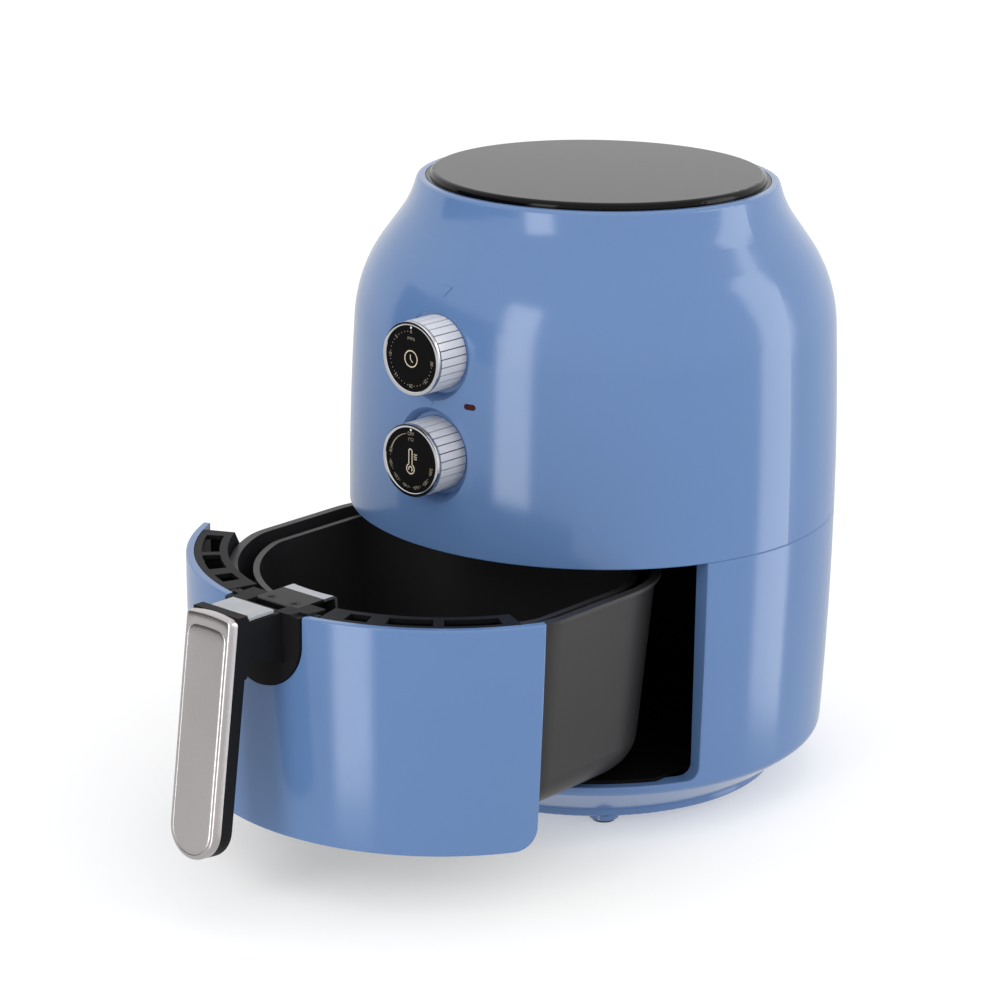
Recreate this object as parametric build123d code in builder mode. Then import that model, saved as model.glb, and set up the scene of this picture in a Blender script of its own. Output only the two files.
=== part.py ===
from build123d import *
import os
from math import asin, atan2, cos, degrees, radians, sin, sqrt, tan

# Hot-air fryer: a round case with two dials over a pull-out drawer that carries a pan and a basket.
# Millimetres. The origin is on the floor, on the axis of the case. +Z is up and the drawer opens towards -Y.

# Case: overall sizes
body_radius = 132.9
case_wall = 3.0
seam_height = 152.0
case_bottom = 9.0

# Upper case: its side runs up from the seam, over the shoulder and into the neck
upper_side_radius = 1750.0
upper_side_angle = 3.35
shoulder_radius = 80.0
shoulder_angle = 32.65
slope_length = 15.3
neck_radius = 52.0
neck_angle = 19.0
rim_length = 3.4
rim_round = 2.4
rim_land = 2.4
top_ledge_width = 12.4
top_ledge_thickness = 3.0

# Lower case: its side, rounded hem and the mouth of the drawer bay
lower_side_radius = 2440.0
hem_height = 27.7
hem_width = 26.9
hem_round = 7.0
base_ledge_width = 10.0
seam_bevel = 0.5
jamb_angle = 66.2
jamb_depth = 12.0
jamb_thickness = 2.5
mouth_corner_radius = 6.5
mouth_edge_round = 0.8
sill_height = 31.5
sill_thickness = 2.5

# Screw lugs that join the two cases at the seam
lug_radius = 5.0
lug_length = 12.0
lug_inset = 6.9
lug_angles = (95.0, 150.0, 210.0, 265.0)

# Screws: one small size for sheet metal and lugs
screw_radius = 1.6
screw_head_radius = 3.0
screw_head_height = 2.0
screw_clearance = 0.1

# Base plate, feet and pads
base_plate_margin = 1.0
base_plate_thickness = 4.5
base_spigot_height = 2.0
base_edge_round = 1.5
foot_radius = 8.2
foot_height = 3.1
foot_inset = 9.0
foot_count = 4
foot_start_angle = 45.0
foot_edge_round = 0.8
pad_radius = 6.2
bay_post_radius = 6.0
bay_post_inset = 18.1
bay_post_count = 4
bay_post_start_angle = 45.0
base_screw_inset = 6.0
base_screw_count = 4

# Top cover
cover_clearance = 0.4
cover_flange_height = 2.0
cover_rise = 5.2
cover_gap = 2.4
cover_round = 2.9
cover_spigot_depth = 4.0
cover_wall = 2.4

# Dials: two knobs on the front, with their recesses, spindles and drive units
timer_rise = 104.0
thermostat_rise = 50.5
knob_radius = 19.2
knob_length = 21.0
knob_front_ring = 1.4
knob_front_bevel = 0.7
flute_count = 28
flute_radius = 0.55
dial_radius = 17.1
dial_thickness = 0.8
dial_sink = 0.3
dial_clearance = 0.1
recess_floor_radius = 21.5
recess_draft = 1.2
recess_draft_depth = 2.4
recess_mouth_radius = 27.0
recess_depth = 8.0
recess_floor_inset = 7.4
knob_floor_gap = 0.5
knob_pad_radius = 27.0
knob_pad_thickness = 4.0
spindle_radius = 3.0
spindle_in_knob = 14.0
spindle_in_unit = 14.0
spindle_clearance = 0.05
spindle_hole_radius = 5.0
bracket_thickness = 1.5
bracket_half_width = 18.0
bracket_over_timer = 13.0
bracket_under_thermostat = 19.0
timer_width = 38.0
timer_depth = 26.0
thermostat_width = 36.0
thermostat_depth = 20.0

# Index marks over the dials and the lamp beside them
mark_width = 7.0
mark_height = 5.0
mark_proud = 0.45
timer_mark_rise = 30.5
thermostat_mark_rise = 29.0
lamp_x = 24.0
lamp_rise = 79.6
lamp_length = 6.6
lamp_width = 2.9
lamp_clearance = 0.1
lamp_lens_depth = 7.0
lamp_holder_depth = 10.0
lamp_holder_width = 9.0

# Drawer bay liner
bay_side_step = 2.8
bay_back_inset = 37.9
bay_corner_radius = 66.0
bay_wall = 1.5
bay_floor_thickness = 2.0
bay_mouth_gap = 0.3
bay_floor_gap = 0.6
runner_width = 6.0
runner_height = 1.2
runner_x = 60.0
runner_length = 150.0

# Hot chamber over the drawer, made of sheet
sheet = 1.2
chamber_flange_inset = 13.4
chamber_flange_width = 11.3
chamber_mouth_height = 20.0
chamber_step_height = 30.0
chamber_step_width = 21.0
chamber_height = 59.2
heater_guard_rise = 7.0
heater_guard_gap = 0.4
heater_guard_slot_width = 7.0
heater_guard_bar = 14.0
heater_guard_slot_rings = ((30.0, 4), (48.0, 6), (66.0, 8), (84.0, 8))

# Heating element: two loops of tube with a turn between them
heater_rise = 24.0
heater_tube_radius = 3.2
heater_side_gap = 11.2
heater_loop_step = 14.0
heater_sweep = 320.0
heater_start_angle = 20.0
heater_terminal_rise = 70.0
hanger_angles = (95.0, 180.0, 265.0)
hanger_width = 6.0
hanger_overlap = 5.0
hanger_rod_radius = 1.8

# Fan and motor on one upright shaft
shaft_radius = 4.0
shaft_bottom_rise = 33.0
shaft_top_rise = 126.0
shaft_clearance = 0.05
fan_side_gap = 3.8
fan_plate_rise = 52.0
fan_blade_depth = 13.0
fan_blade_count = 12
fan_hub_radius = 9.0
fan_hub_length = 15.0
fan_nut_height = 5.0
fan_nut_width = 13.0
cooler_inset = 10.0
cooler_rise = 66.0
cooler_height = 10.0
cooler_blade_count = 7
cooler_hub_radius = 11.0
cooler_blade_thickness = 1.6
cooler_blade_tilt = 35.0
bridge_rise = 84.0
bridge_length = 124.0
bridge_width = 62.0
bridge_hole_radius = 12.0
bridge_leg_radius = 4.0
bridge_leg_x = 56.0
bridge_leg_y = 20.0
motor_width = 58.0
motor_stack_height = 22.0
motor_bell_radius = 27.0
motor_bell_height = 12.0

# Air outlet at the back, with its duct
outlet_half_angle = 16.0
outlet_bottom_rise = 30.0
outlet_top_rise = 62.0
outlet_clearance = 0.3
outlet_thickness = 2.6
outlet_slot_count = 6
outlet_slot_height = 2.6
outlet_border = 4.0
duct_half_width = 30.0
duct_bottom_rise = 34.0
duct_top_rise = 56.0

# Small parts of the case
gland_height = 45.0
gland_radius = 6.0
gland_flange_radius = 9.0
gland_flange_thickness = 2.5
gland_bore_radius = 3.6
gland_clearance = 0.1
cutout_radius = 8.0
cutout_height = 5.0
cutout_inset = 25.2
switch_drop = 22.0
switch_width = 20.0
switch_depth = 8.0
switch_height = 10.0
plunger_radius = 2.0
plunger_reach = 3.2
plunger_clearance = 0.3

# Drawer: how far it stands open, and its front panel
drawer_pull = 122.0
panel_flush = 0.3
panel_thickness = 4.0
panel_half_angle = 64.5
panel_side_slant = 1.0
panel_edge_round = 0.9
panel_top_gap = 0.9
panel_bottom_gap = 0.8
panel_corner_radius = 12.0
notch_half_width = 26.0
notch_depth = 41.0

# Collar between the panel and the pan
collar_half_angle = 64.0
collar_inset = 21.6
collar_drop = 17.0
collar_plate = 2.4
collar_skirt = 1.6
collar_top_gap = 1.2
collar_outer_drop = 22.0
collar_end_run = 9.4
collar_end_fall = 10.0
collar_gap_half_angle = 14.2
collar_ledge = 2.4
collar_side_clearance = 0.3
window_angles = ((19.5, 25.0), (29.3, 40.0), (42.5, 55.7))
window_inner_margin = 4.1
window_outer_margin = 3.7
panel_screw_angles = (-52.0, -30.0, 30.0, 52.0)
panel_screw_drop = 16.0
panel_screw_depth = 2.4

# Pan
pan_rim_drop = 9.0
pan_front_gap = 3.3
pan_side_gap = 10.2
pan_back_gap = 7.0
pan_corner_radius = 60.0
pan_shoulder_radius = 40.0
pan_taper = 5.0
pan_wall = 1.8
pan_bottom_radius = 20.0
pan_lip = 2.8
pan_lip_thickness = 2.0
pan_runner_gap = 0.3
fin_count = 4
fin_start_angle = 45.0
fin_thickness = 3.0
fin_inner_radius = 18.0
fin_length = 40.0

# Basket
basket_rim_drop = 12.0
basket_inset = 11.5
basket_depth = 88.0
basket_wall = 1.5
basket_bottom_radius = 12.0
basket_lip = 1.8
basket_lip_thickness = 1.6
floor_opening_inset = 26.0
floor_overlap = 5.0
floor_thickness = 1.2
hole_radius = 4.0
hole_margin = 2.0
first_ring_radius = 18.0
first_ring_count = 6
ring_pitch = 16.0

# Strap that carries the basket on the handle
strap_width = 28.0
strap_thickness = 1.5
strap_seat = 9.0
strap_leg = 26.0
strap_bend_radius = 3.0
strap_wall_gap = 0.05
rivet_radius = 2.2
rivet_head_radius = 3.6
rivet_head_height = 1.2
rivet_angle = 4.3
rivet_drop = 16.0
rivet_clearance = 0.05
strap_screw_spacing = 16.0
strap_screw_length = 9.0

# Handle: moulded arm, metal face, release button and its sliding guard
notch_clearance = 0.5
notch_foot_proud = 1.4
notch_foot_depth = 4.6
notch_flange = 4.0
notch_flange_gap = 0.05
block_half_width = 25.0
block_depth = 13.7
block_back_clearance = 1.2
trough_half_width = 11.0
trough_depth = 3.0
trough_wall = 1.5
handle_width = 31.0
handle_top_rise = 5.0
handle_bottom_drop = 118.0
handle_top_stand = 34.1
handle_bottom_stand = 50.1
handle_screw_drops = (38.0, 92.0)
handle_screw_depth = 3.0
handle_screw_recess = 2.4
plate_thickness = 5.0
plate_edge_round = 1.6
plate_pad_inset = 3.0
plate_pad_rise = 0.35
plate_top_round = 3.0
grip_depth = 9.0
grip_edge_round = 2.6
neck_top_rise = 0.3
neck_front_gap = 1.6
neck_root_drop = 29.0
neck_grip_drop = 18.0
neck_arch_radius = 7.0
neck_arch_end = 1.0
hood_end_gap = 0.8
hood_thickness = 1.4
hood_side = 1.2
guard_slide = 5.8
guard_length = 19.0
guard_thickness = 2.0
guard_clearance = 0.3
guard_dimple_radius = 9.0
guard_dimple_depth = 0.7
guard_edge_round = 0.6
button_length = 5.2
button_width = 14.0
button_height = 6.0
button_stand = 4.7
button_clearance = 0.2
button_travel = 3.0
button_stem_radius = 1.4
button_stem_gap = 1.0
spring_radius = 2.2
spring_wire_radius = 0.35
spring_turns = 5
spring_length = 8.0

# Rings and reaches worked out from the case's radius
hem_radius = body_radius - hem_width
base_opening_radius = hem_radius - base_ledge_width
base_plate_radius = hem_radius - base_plate_margin
foot_ring_radius = base_plate_radius - foot_inset
base_screw_ring_radius = base_plate_radius - base_screw_inset
bay_post_ring_radius = base_opening_radius - bay_post_inset
lug_ring_radius = body_radius - lug_inset
jamb_radius = body_radius - jamb_depth
jamb_sweep = degrees(jamb_thickness / body_radius)
mouth_half_width = jamb_radius * sin(radians(jamb_angle))
bay_half_width = mouth_half_width + bay_side_step
bay_front_y = bay_mouth_gap - jamb_radius * cos(radians(jamb_angle + jamb_sweep))
bay_back = body_radius - bay_back_inset
chamber_flange_radius = body_radius - chamber_flange_inset
chamber_mouth_radius = chamber_flange_radius - chamber_flange_width
chamber_dome_radius = chamber_mouth_radius - chamber_step_width
cutout_y = chamber_dome_radius - cutout_inset
heater_outer_radius = chamber_dome_radius - heater_side_gap
fan_radius = heater_outer_radius - heater_loop_step - heater_tube_radius - fan_side_gap
cooler_radius = fan_radius - cooler_inset
panel_inside = body_radius - panel_flush - panel_thickness
collar_outer_radius = panel_inside - collar_side_clearance
collar_inner_radius = body_radius - collar_inset
window_inner_radius = collar_inner_radius + window_inner_margin
window_outer_radius = collar_outer_radius - window_outer_margin
pan_front_radius = collar_inner_radius - pan_front_gap
pan_half_width = bay_half_width - pan_side_gap
pan_back = bay_back - pan_back_gap
notch_foot_back = panel_inside - notch_foot_depth
button_rear_reach = body_radius + button_stand
handle_top_reach = body_radius + handle_top_stand
handle_bottom_reach = body_radius + handle_bottom_stand
recess_floor_y = recess_floor_inset - body_radius

# Places worked out from the sizes above
lower_side_angle = degrees(asin((seam_height - hem_height) / lower_side_radius))
timer_z = seam_height + timer_rise
thermostat_z = seam_height + thermostat_rise
chamber_top = seam_height + chamber_height
base_plate_bottom = case_bottom - base_plate_thickness
pan_rim = seam_height - pan_rim_drop
bay_floor_top = sill_height + bay_floor_thickness
pan_bottom = bay_floor_top + runner_height + pan_runner_gap
basket_rim = seam_height - basket_rim_drop
basket_bottom = basket_rim - basket_depth
knob_base_y = recess_floor_y - knob_floor_gap
knob_face_y = knob_base_y - knob_length
knob_pad_back_y = recess_floor_y + knob_pad_thickness
bracket_back_y = knob_pad_back_y + bracket_thickness
heater_end_radii = (heater_outer_radius, heater_outer_radius - heater_loop_step)
drawer_axis = Axis((0, -drawer_pull, 0), (0, 0, 1))
block_top = seam_height - collar_top_gap
panel_bottom = sill_height + panel_bottom_gap
ledge_top = pan_rim - pan_lip_thickness
handle_lean = degrees(atan2(handle_bottom_reach - handle_top_reach, handle_top_rise + handle_bottom_drop))
handle_length = (handle_top_rise + handle_bottom_drop) / cos(radians(handle_lean))
hood_length = guard_slide + hood_end_gap
button_stem_length = spring_length - button_travel - button_stem_gap


def radial_plane(angle, back=0.0):
    """Upright plane through an axis: local x runs outwards at this angle from the front, local y is up."""
    turn = radians(angle)
    return Plane(
        origin=(0, back, 0),
        x_dir=(sin(turn), -cos(turn), 0),
        z_dir=(-cos(turn), -sin(turn), 0),
    )


def front_plane(y):
    """Upright plane that faces the front: local x is +X, local y is up, and extrusions run forwards."""
    return Plane(origin=(0, y, 0), x_dir=(1, 0, 0), z_dir=(0, -1, 0))


def drawer_level(height):
    """Level plane at this height, centred on the drawer where it stands open."""
    return Plane(origin=(0, -drawer_pull, height))


def ring_spot(radius, angle):
    """Point on a level ring, at this angle from the front."""
    return (radius * sin(radians(angle)), -radius * cos(radians(angle)))


def upper_wall(inset):
    """Nearly upright part of the upper case's side, moved in by the inset."""
    return JernArc((body_radius - inset, seam_height), (0, 1), upper_side_radius, upper_side_angle)


def upper_side(inset):
    """Side of the upper case from the seam to the top of the neck, moved in by the inset."""
    side = upper_wall(inset)
    shoulder = JernArc(side @ 1, side % 1, shoulder_radius, shoulder_angle)
    slope = PolarLine(shoulder @ 1, slope_length, direction=shoulder % 1)
    return side, JernArc(slope @ 1, slope % 1, neck_radius, -neck_angle)


def upper_rim(neck):
    """Rim that goes on from the neck and turns over to the level."""
    edge = PolarLine(neck @ 1, rim_length, direction=neck % 1)
    return JernArc(edge @ 1, edge % 1, rim_round, 90 - upper_side_angle - shoulder_angle + neck_angle)


def lower_side(inset):
    """Side of the lower case from the seam down to the hem, moved in by the inset."""
    return JernArc((body_radius - inset, seam_height), (0, -1), lower_side_radius, -lower_side_angle)


# Points where the case's curves end, which other pieces seat on
neck_end = upper_side(0)[1] @ 1
rim_end = upper_rim(upper_side(0)[1]) @ 1
hem_start = lower_side(0) @ 1
bay_floor_front_radius = hem_start.X - panel_flush - panel_thickness - bay_floor_gap
top_recess_radius = rim_end.X - rim_land
top_ledge = neck_end.Y + top_ledge_thickness
top_opening_radius = top_recess_radius - top_ledge_width

os.makedirs("parts", exist_ok=True)

sill_reach = hem_start.X - case_wall / 2


def on_mouth_rim(edge):
    """Whether an edge runs round the mouth of the drawer bay on the outside of the case."""
    middle = edge @ 0.5
    reach = sqrt(middle.X**2 + middle.Y**2)
    below = seam_height - middle.Z
    outside = body_radius - lower_side_radius + sqrt(lower_side_radius**2 - below**2)
    in_mouth = middle.Y < 0 and abs(middle.X) < (mouth_half_width + jamb_thickness) * reach / jamb_radius
    in_height = sill_height <= middle.Z + seam_bevel < seam_height
    return in_mouth and in_height and abs(reach - outside) < seam_bevel


# Lower case
with BuildPart() as lower_shell:
    with BuildSketch(Plane.XZ) as wall:
        with BuildLine():
            outside = lower_side(0)
            inside = lower_side(case_wall)
            Line(outside @ 0, inside @ 0)
            Polyline(
                outside @ 1,
                (hem_radius, case_bottom),
                (base_opening_radius, case_bottom),
                (base_opening_radius, case_bottom + case_wall),
                (hem_radius, case_bottom + case_wall),
                inside @ 1,
            )
        make_face()
        fillet(wall.vertices().sort_by_distance(outside @ 1)[0], hem_round)
        fillet(wall.vertices().sort_by_distance(inside @ 1)[0], hem_round - case_wall)
        chamfer(wall.vertices().sort_by_distance(outside @ 0)[0], seam_bevel)
    revolve(axis=Axis.Z)
    with BuildSketch(radial_plane(-jamb_angle)):
        with Locations((jamb_radius, sill_height)):
            Rectangle(2 * jamb_depth, seam_height, align=(Align.MIN, Align.MIN))
    revolve(axis=Axis.Z, revolution_arc=2 * jamb_angle, mode=Mode.SUBTRACT)
    for jamb_start in (jamb_angle, -jamb_angle - jamb_sweep):
        with BuildSketch(radial_plane(jamb_start)):
            Polygon(
                (jamb_radius, sill_height - sill_thickness),
                (sill_reach, sill_height - sill_thickness),
                (body_radius - case_wall / 2, seam_height),
                (jamb_radius, seam_height),
                align=None,
            )
        revolve(axis=Axis.Z, revolution_arc=jamb_sweep)
    with BuildSketch(radial_plane(-jamb_angle - jamb_sweep)):
        with Locations((jamb_radius, sill_height)):
            Rectangle(
                sill_reach - jamb_radius,
                sill_thickness,
                align=(Align.MIN, Align.MAX),
            )
    revolve(axis=Axis.Z, revolution_arc=2 * (jamb_angle + jamb_sweep))
    fillet(
        lower_shell.edges().filter_by(GeomType.LINE).filter_by_position(Axis.Z, sill_height, sill_height),
        mouth_corner_radius,
    )
    fillet(lower_shell.edges().filter_by(on_mouth_rim), mouth_edge_round)
    with Locations([(*ring_spot(lug_ring_radius, a), seam_height) for a in lug_angles]):
        Cylinder(lug_radius, lug_length, align=(Align.CENTER, Align.CENTER, Align.MAX))
        Cylinder(screw_radius + screw_clearance, 3 * lug_length, mode=Mode.SUBTRACT)
    with PolarLocations(base_screw_ring_radius, base_screw_count):
        Cylinder(screw_radius + screw_clearance, 4 * case_bottom, mode=Mode.SUBTRACT)
    with BuildSketch(front_plane(body_radius + case_wall)):
        with Locations((0, gland_height)):
            Circle(gland_radius + gland_clearance)
    extrude(amount=4 * case_wall, mode=Mode.SUBTRACT)
lower_shell.part.label = "lower_shell"
export_step(lower_shell.part, "parts/lower_shell.step")

# Hollow of the upper case, with the thick pads behind the dials left standing
with BuildPart() as upper_hollow:
    with BuildSketch(Plane.XZ):
        with BuildLine():
            side, neck = upper_side(case_wall)
            Polyline(neck @ 1, (0, neck_end.Y), (0, seam_height), side @ 0)
        make_face()
    revolve(axis=Axis.Z)
    for dial_z in (timer_z, thermostat_z):
        with BuildSketch(front_plane(knob_pad_back_y)):
            with Locations((0, dial_z)):
                Circle(knob_pad_radius)
        extrude(amount=body_radius, mode=Mode.SUBTRACT)

# Raised index marks, shaped like small triangles that point down
with BuildPart() as index_marks:
    with BuildSketch(front_plane(0)):
        for mark_z in (timer_z + timer_mark_rise, thermostat_z + thermostat_mark_rise):
            with Locations((0, mark_z)):
                Polygon(
                    (-mark_width / 2, mark_height / 2),
                    (mark_width / 2, mark_height / 2),
                    (0, -mark_height / 2),
                    align=None,
                )
    extrude(amount=2 * body_radius)
    with BuildSketch(Plane.XZ):
        with BuildLine():
            side, neck = upper_side(-mark_proud)
            Polyline(neck @ 1, (0, neck_end.Y), (0, seam_height), side @ 0)
        make_face()
    revolve(axis=Axis.Z, mode=Mode.INTERSECT)

# Upper case
with BuildPart() as upper_shell:
    with BuildSketch(Plane.XZ) as wall:
        with BuildLine():
            side, neck = upper_side(0)
            rim = upper_rim(neck)
            Polyline(
                rim @ 1,
                (top_recess_radius, rim_end.Y),
                (top_recess_radius, top_ledge),
                (0, top_ledge),
                (0, seam_height),
                side @ 0,
            )
        make_face()
        chamfer(wall.vertices().sort_by_distance(side @ 0)[0], seam_bevel)
    revolve(axis=Axis.Z)
    add(index_marks.part)
    add(upper_hollow.part, mode=Mode.SUBTRACT)
    with Locations((0, 0, top_ledge)):
        Cylinder(top_opening_radius, 3 * top_ledge_thickness, mode=Mode.SUBTRACT)
    for dial_z in (timer_z, thermostat_z):
        with BuildSketch(Plane.XY.offset(dial_z)):
            with BuildLine():
                draft = Line(
                    (recess_floor_radius, recess_floor_y),
                    (recess_floor_radius + recess_draft, recess_floor_y - recess_draft_depth),
                )
                flare = TangentArc(
                    draft @ 1,
                    (recess_mouth_radius, recess_floor_y - recess_depth),
                    tangent=draft % 1,
                )
                Polyline(
                    flare @ 1,
                    (recess_mouth_radius, -2 * body_radius),
                    (0, -2 * body_radius),
                    (0, recess_floor_y),
                    draft @ 0,
                )
            make_face()
        revolve(axis=Axis((0, 0, dial_z), (0, 1, 0)), mode=Mode.SUBTRACT)
        with BuildSketch(front_plane(knob_pad_back_y)):
            with Locations((0, dial_z)):
                Circle(spindle_hole_radius)
        extrude(amount=2 * knob_pad_thickness, mode=Mode.SUBTRACT)
    with BuildSketch(front_plane(0)):
        with Locations((lamp_x, seam_height + lamp_rise)):
            SlotOverall(lamp_length + 2 * lamp_clearance, lamp_width + 2 * lamp_clearance)
    extrude(amount=2 * body_radius, mode=Mode.SUBTRACT)
    with BuildSketch(radial_plane(180 - outlet_half_angle)):
        with Locations((body_radius, seam_height + outlet_bottom_rise)):
            Rectangle(
                4 * case_wall,
                outlet_top_rise - outlet_bottom_rise,
                align=(Align.CENTER, Align.MIN),
            )
    revolve(axis=Axis.Z, revolution_arc=2 * outlet_half_angle, mode=Mode.SUBTRACT)
    with Locations([(*ring_spot(lug_ring_radius, a), seam_height) for a in lug_angles]):
        Cylinder(lug_radius, lug_length, align=(Align.CENTER, Align.CENTER, Align.MIN))
        Cylinder(screw_radius + screw_clearance, 2 * lug_length, mode=Mode.SUBTRACT)
upper_shell.part.label = "upper_shell"
export_step(upper_shell.part, "parts/upper_shell.step")

# Top cover: a gloss disc with a rounded edge that stands a little over the rim
with BuildPart() as top_cover:
    flange_radius = top_recess_radius - cover_clearance
    disc_radius = top_recess_radius - cover_gap
    with BuildSketch(Plane.XZ):
        with BuildLine():
            Polyline(
                (0, top_ledge + cover_rise),
                (0, top_ledge - cover_spigot_depth),
                (top_opening_radius - cover_clearance, top_ledge - cover_spigot_depth),
                (top_opening_radius - cover_clearance, top_ledge),
                (flange_radius, top_ledge),
                (flange_radius, top_ledge + cover_flange_height),
                (disc_radius, top_ledge + cover_flange_height),
            )
            edge = Line(
                (disc_radius, top_ledge + cover_flange_height),
                (disc_radius, top_ledge + cover_rise - cover_round),
            )
            bead = JernArc(edge @ 1, (0, 1), cover_round, 90)
            Line(bead @ 1, (0, top_ledge + cover_rise))
        make_face()
    revolve(axis=Axis.Z)
    with Locations((0, 0, top_ledge - cover_spigot_depth)):
        Cylinder(
            top_opening_radius - cover_clearance - cover_wall,
            cover_spigot_depth + cover_rise - cover_wall,
            align=(Align.CENTER, Align.CENTER, Align.MIN),
            mode=Mode.SUBTRACT,
        )
top_cover.part.label = "top_cover"
export_step(top_cover.part, "parts/top_cover.step")

# Base plate: the plinth under the case, with posts that carry the back of the drawer bay
with BuildPart() as base_plate:
    with Locations((0, 0, base_plate_bottom)):
        Cylinder(base_plate_radius, base_plate_thickness, align=(Align.CENTER, Align.CENTER, Align.MIN))
    fillet(base_plate.edges().group_by(Axis.Z)[0], base_edge_round)
    with Locations((0, 0, case_bottom)):
        Cylinder(
            base_opening_radius - cover_clearance,
            base_spigot_height,
            align=(Align.CENTER, Align.CENTER, Align.MIN),
        )
        with PolarLocations(bay_post_ring_radius, bay_post_count, start_angle=bay_post_start_angle):
            Cylinder(
                bay_post_radius,
                sill_height - case_bottom,
                align=(Align.CENTER, Align.CENTER, Align.MIN),
            )
    with Locations(Location((0, 0, base_plate_bottom), (180, 0, 0))):
        with PolarLocations(base_screw_ring_radius, base_screw_count):
            CounterBoreHole(
                screw_radius + screw_clearance,
                screw_head_radius + screw_clearance,
                screw_head_height,
            )
base_plate.part.label = "base_plate"
export_step(base_plate.part, "parts/base_plate.step")

# Screws that hold the base plate, let in flush from below
with BuildPart() as base_screws:
    with Locations((0, 0, base_plate_bottom)):
        with PolarLocations(base_screw_ring_radius, base_screw_count):
            Cylinder(screw_head_radius, screw_head_height, align=(Align.CENTER, Align.CENTER, Align.MIN))
            Cylinder(
                screw_radius,
                base_plate_thickness + case_wall,
                align=(Align.CENTER, Align.CENTER, Align.MIN),
            )
base_screws.part.label = "base_screws"
export_step(base_screws.part, "parts/base_screws.step")

# Feet, and the soft pads let into them
with BuildPart() as feet:
    with Locations((0, 0, base_plate_bottom)):
        with PolarLocations(foot_ring_radius, foot_count, start_angle=foot_start_angle):
            Cylinder(foot_radius, foot_height, align=(Align.CENTER, Align.CENTER, Align.MAX))
    fillet(feet.edges().group_by(Axis.Z)[0], foot_edge_round)
feet.part.label = "feet"
export_step(feet.part, "parts/feet.step")

with BuildPart() as foot_pads:
    with PolarLocations(foot_ring_radius, foot_count, start_angle=foot_start_angle):
        Cylinder(
            pad_radius,
            base_plate_bottom - foot_height,
            align=(Align.CENTER, Align.CENTER, Align.MIN),
        )
foot_pads.part.label = "foot_pads"
export_step(foot_pads.part, "parts/foot_pads.step")

# Screws through the seam lugs, driven from below
with BuildPart() as case_screws:
    with Locations([(*ring_spot(lug_ring_radius, a), seam_height - lug_length) for a in lug_angles]):
        Cylinder(screw_head_radius, screw_head_height, align=(Align.CENTER, Align.CENTER, Align.MAX))
        Cylinder(
            screw_radius,
            2 * lug_length - screw_head_height,
            align=(Align.CENTER, Align.CENTER, Align.MIN),
        )
case_screws.part.label = "case_screws"
export_step(case_screws.part, "parts/case_screws.step")


def bay_outline(inset):
    """Plan of the drawer bay behind its mouth, with rounded back corners."""
    with BuildSketch(mode=Mode.PRIVATE) as outline:
        with Locations((0, bay_front_y)):
            Rectangle(
                2 * (bay_half_width - inset),
                bay_back - inset - bay_front_y,
                align=(Align.CENTER, Align.MIN),
            )
        fillet(outline.vertices().group_by(Axis.Y)[-1], bay_corner_radius - inset)
    return outline.sketch


# Drawer bay liner: floor, side walls and back, with two runners that the pan slides on
with BuildPart() as bay_liner:
    with BuildSketch(Plane.XY.offset(sill_height)):
        add(bay_outline(0))
        with Locations((0, bay_front_y)):
            Rectangle(
                2 * (mouth_half_width - mouth_corner_radius - bay_mouth_gap),
                body_radius,
                align=(Align.CENTER, Align.MAX),
            )
        Circle(bay_floor_front_radius, mode=Mode.INTERSECT)
    extrude(amount=bay_floor_thickness)
    with BuildSketch(Plane.XY.offset(sill_height)):
        add(bay_outline(0))
        add(bay_outline(bay_wall), mode=Mode.SUBTRACT)
    extrude(amount=seam_height - sill_height)
    with BuildSketch(Plane.XY.offset(bay_floor_top)):
        with Locations((-runner_x, 0), (runner_x, 0)):
            SlotOverall(runner_length, runner_width, rotation=90)
    extrude(amount=runner_height)
    with BuildSketch(front_plane(bay_back + bay_wall)):
        with Locations((0, seam_height - switch_drop)):
            Circle(plunger_radius + plunger_clearance)
    extrude(amount=3 * bay_wall, mode=Mode.SUBTRACT)
bay_liner.part.label = "bay_liner"
export_step(bay_liner.part, "parts/bay_liner.step")

# Switch that feels the pan when the drawer is shut
with BuildPart() as drawer_switch:
    with Locations((0, bay_back, seam_height - switch_drop)):
        Box(switch_width, switch_depth, switch_height, align=(Align.CENTER, Align.MIN, Align.CENTER))
    fillet(drawer_switch.edges().filter_by(Axis.Y), plunger_clearance)
    with BuildSketch(front_plane(bay_back)):
        with Locations((0, seam_height - switch_drop)):
            Circle(plunger_radius)
    extrude(amount=plunger_reach)
drawer_switch.part.label = "drawer_switch"
export_step(drawer_switch.part, "parts/drawer_switch.step")

# Cord gland in the back of the lower case
with BuildPart() as cord_gland:
    with BuildSketch(front_plane(body_radius + gland_flange_thickness)):
        with Locations((0, gland_height)):
            Circle(gland_flange_radius)
    extrude(amount=gland_flange_thickness)
    fillet(cord_gland.edges().group_by(Axis.Y)[-1], gland_flange_thickness / 2)
    with BuildSketch(front_plane(body_radius)):
        with Locations((0, gland_height)):
            Circle(gland_radius)
    extrude(amount=3 * case_wall)
    with BuildSketch(front_plane(body_radius + gland_flange_thickness)):
        with Locations((0, gland_height)):
            Circle(gland_bore_radius)
    extrude(amount=gland_flange_thickness + 3 * case_wall, mode=Mode.SUBTRACT)
cord_gland.part.label = "cord_gland"
export_step(cord_gland.part, "parts/cord_gland.step")

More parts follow.
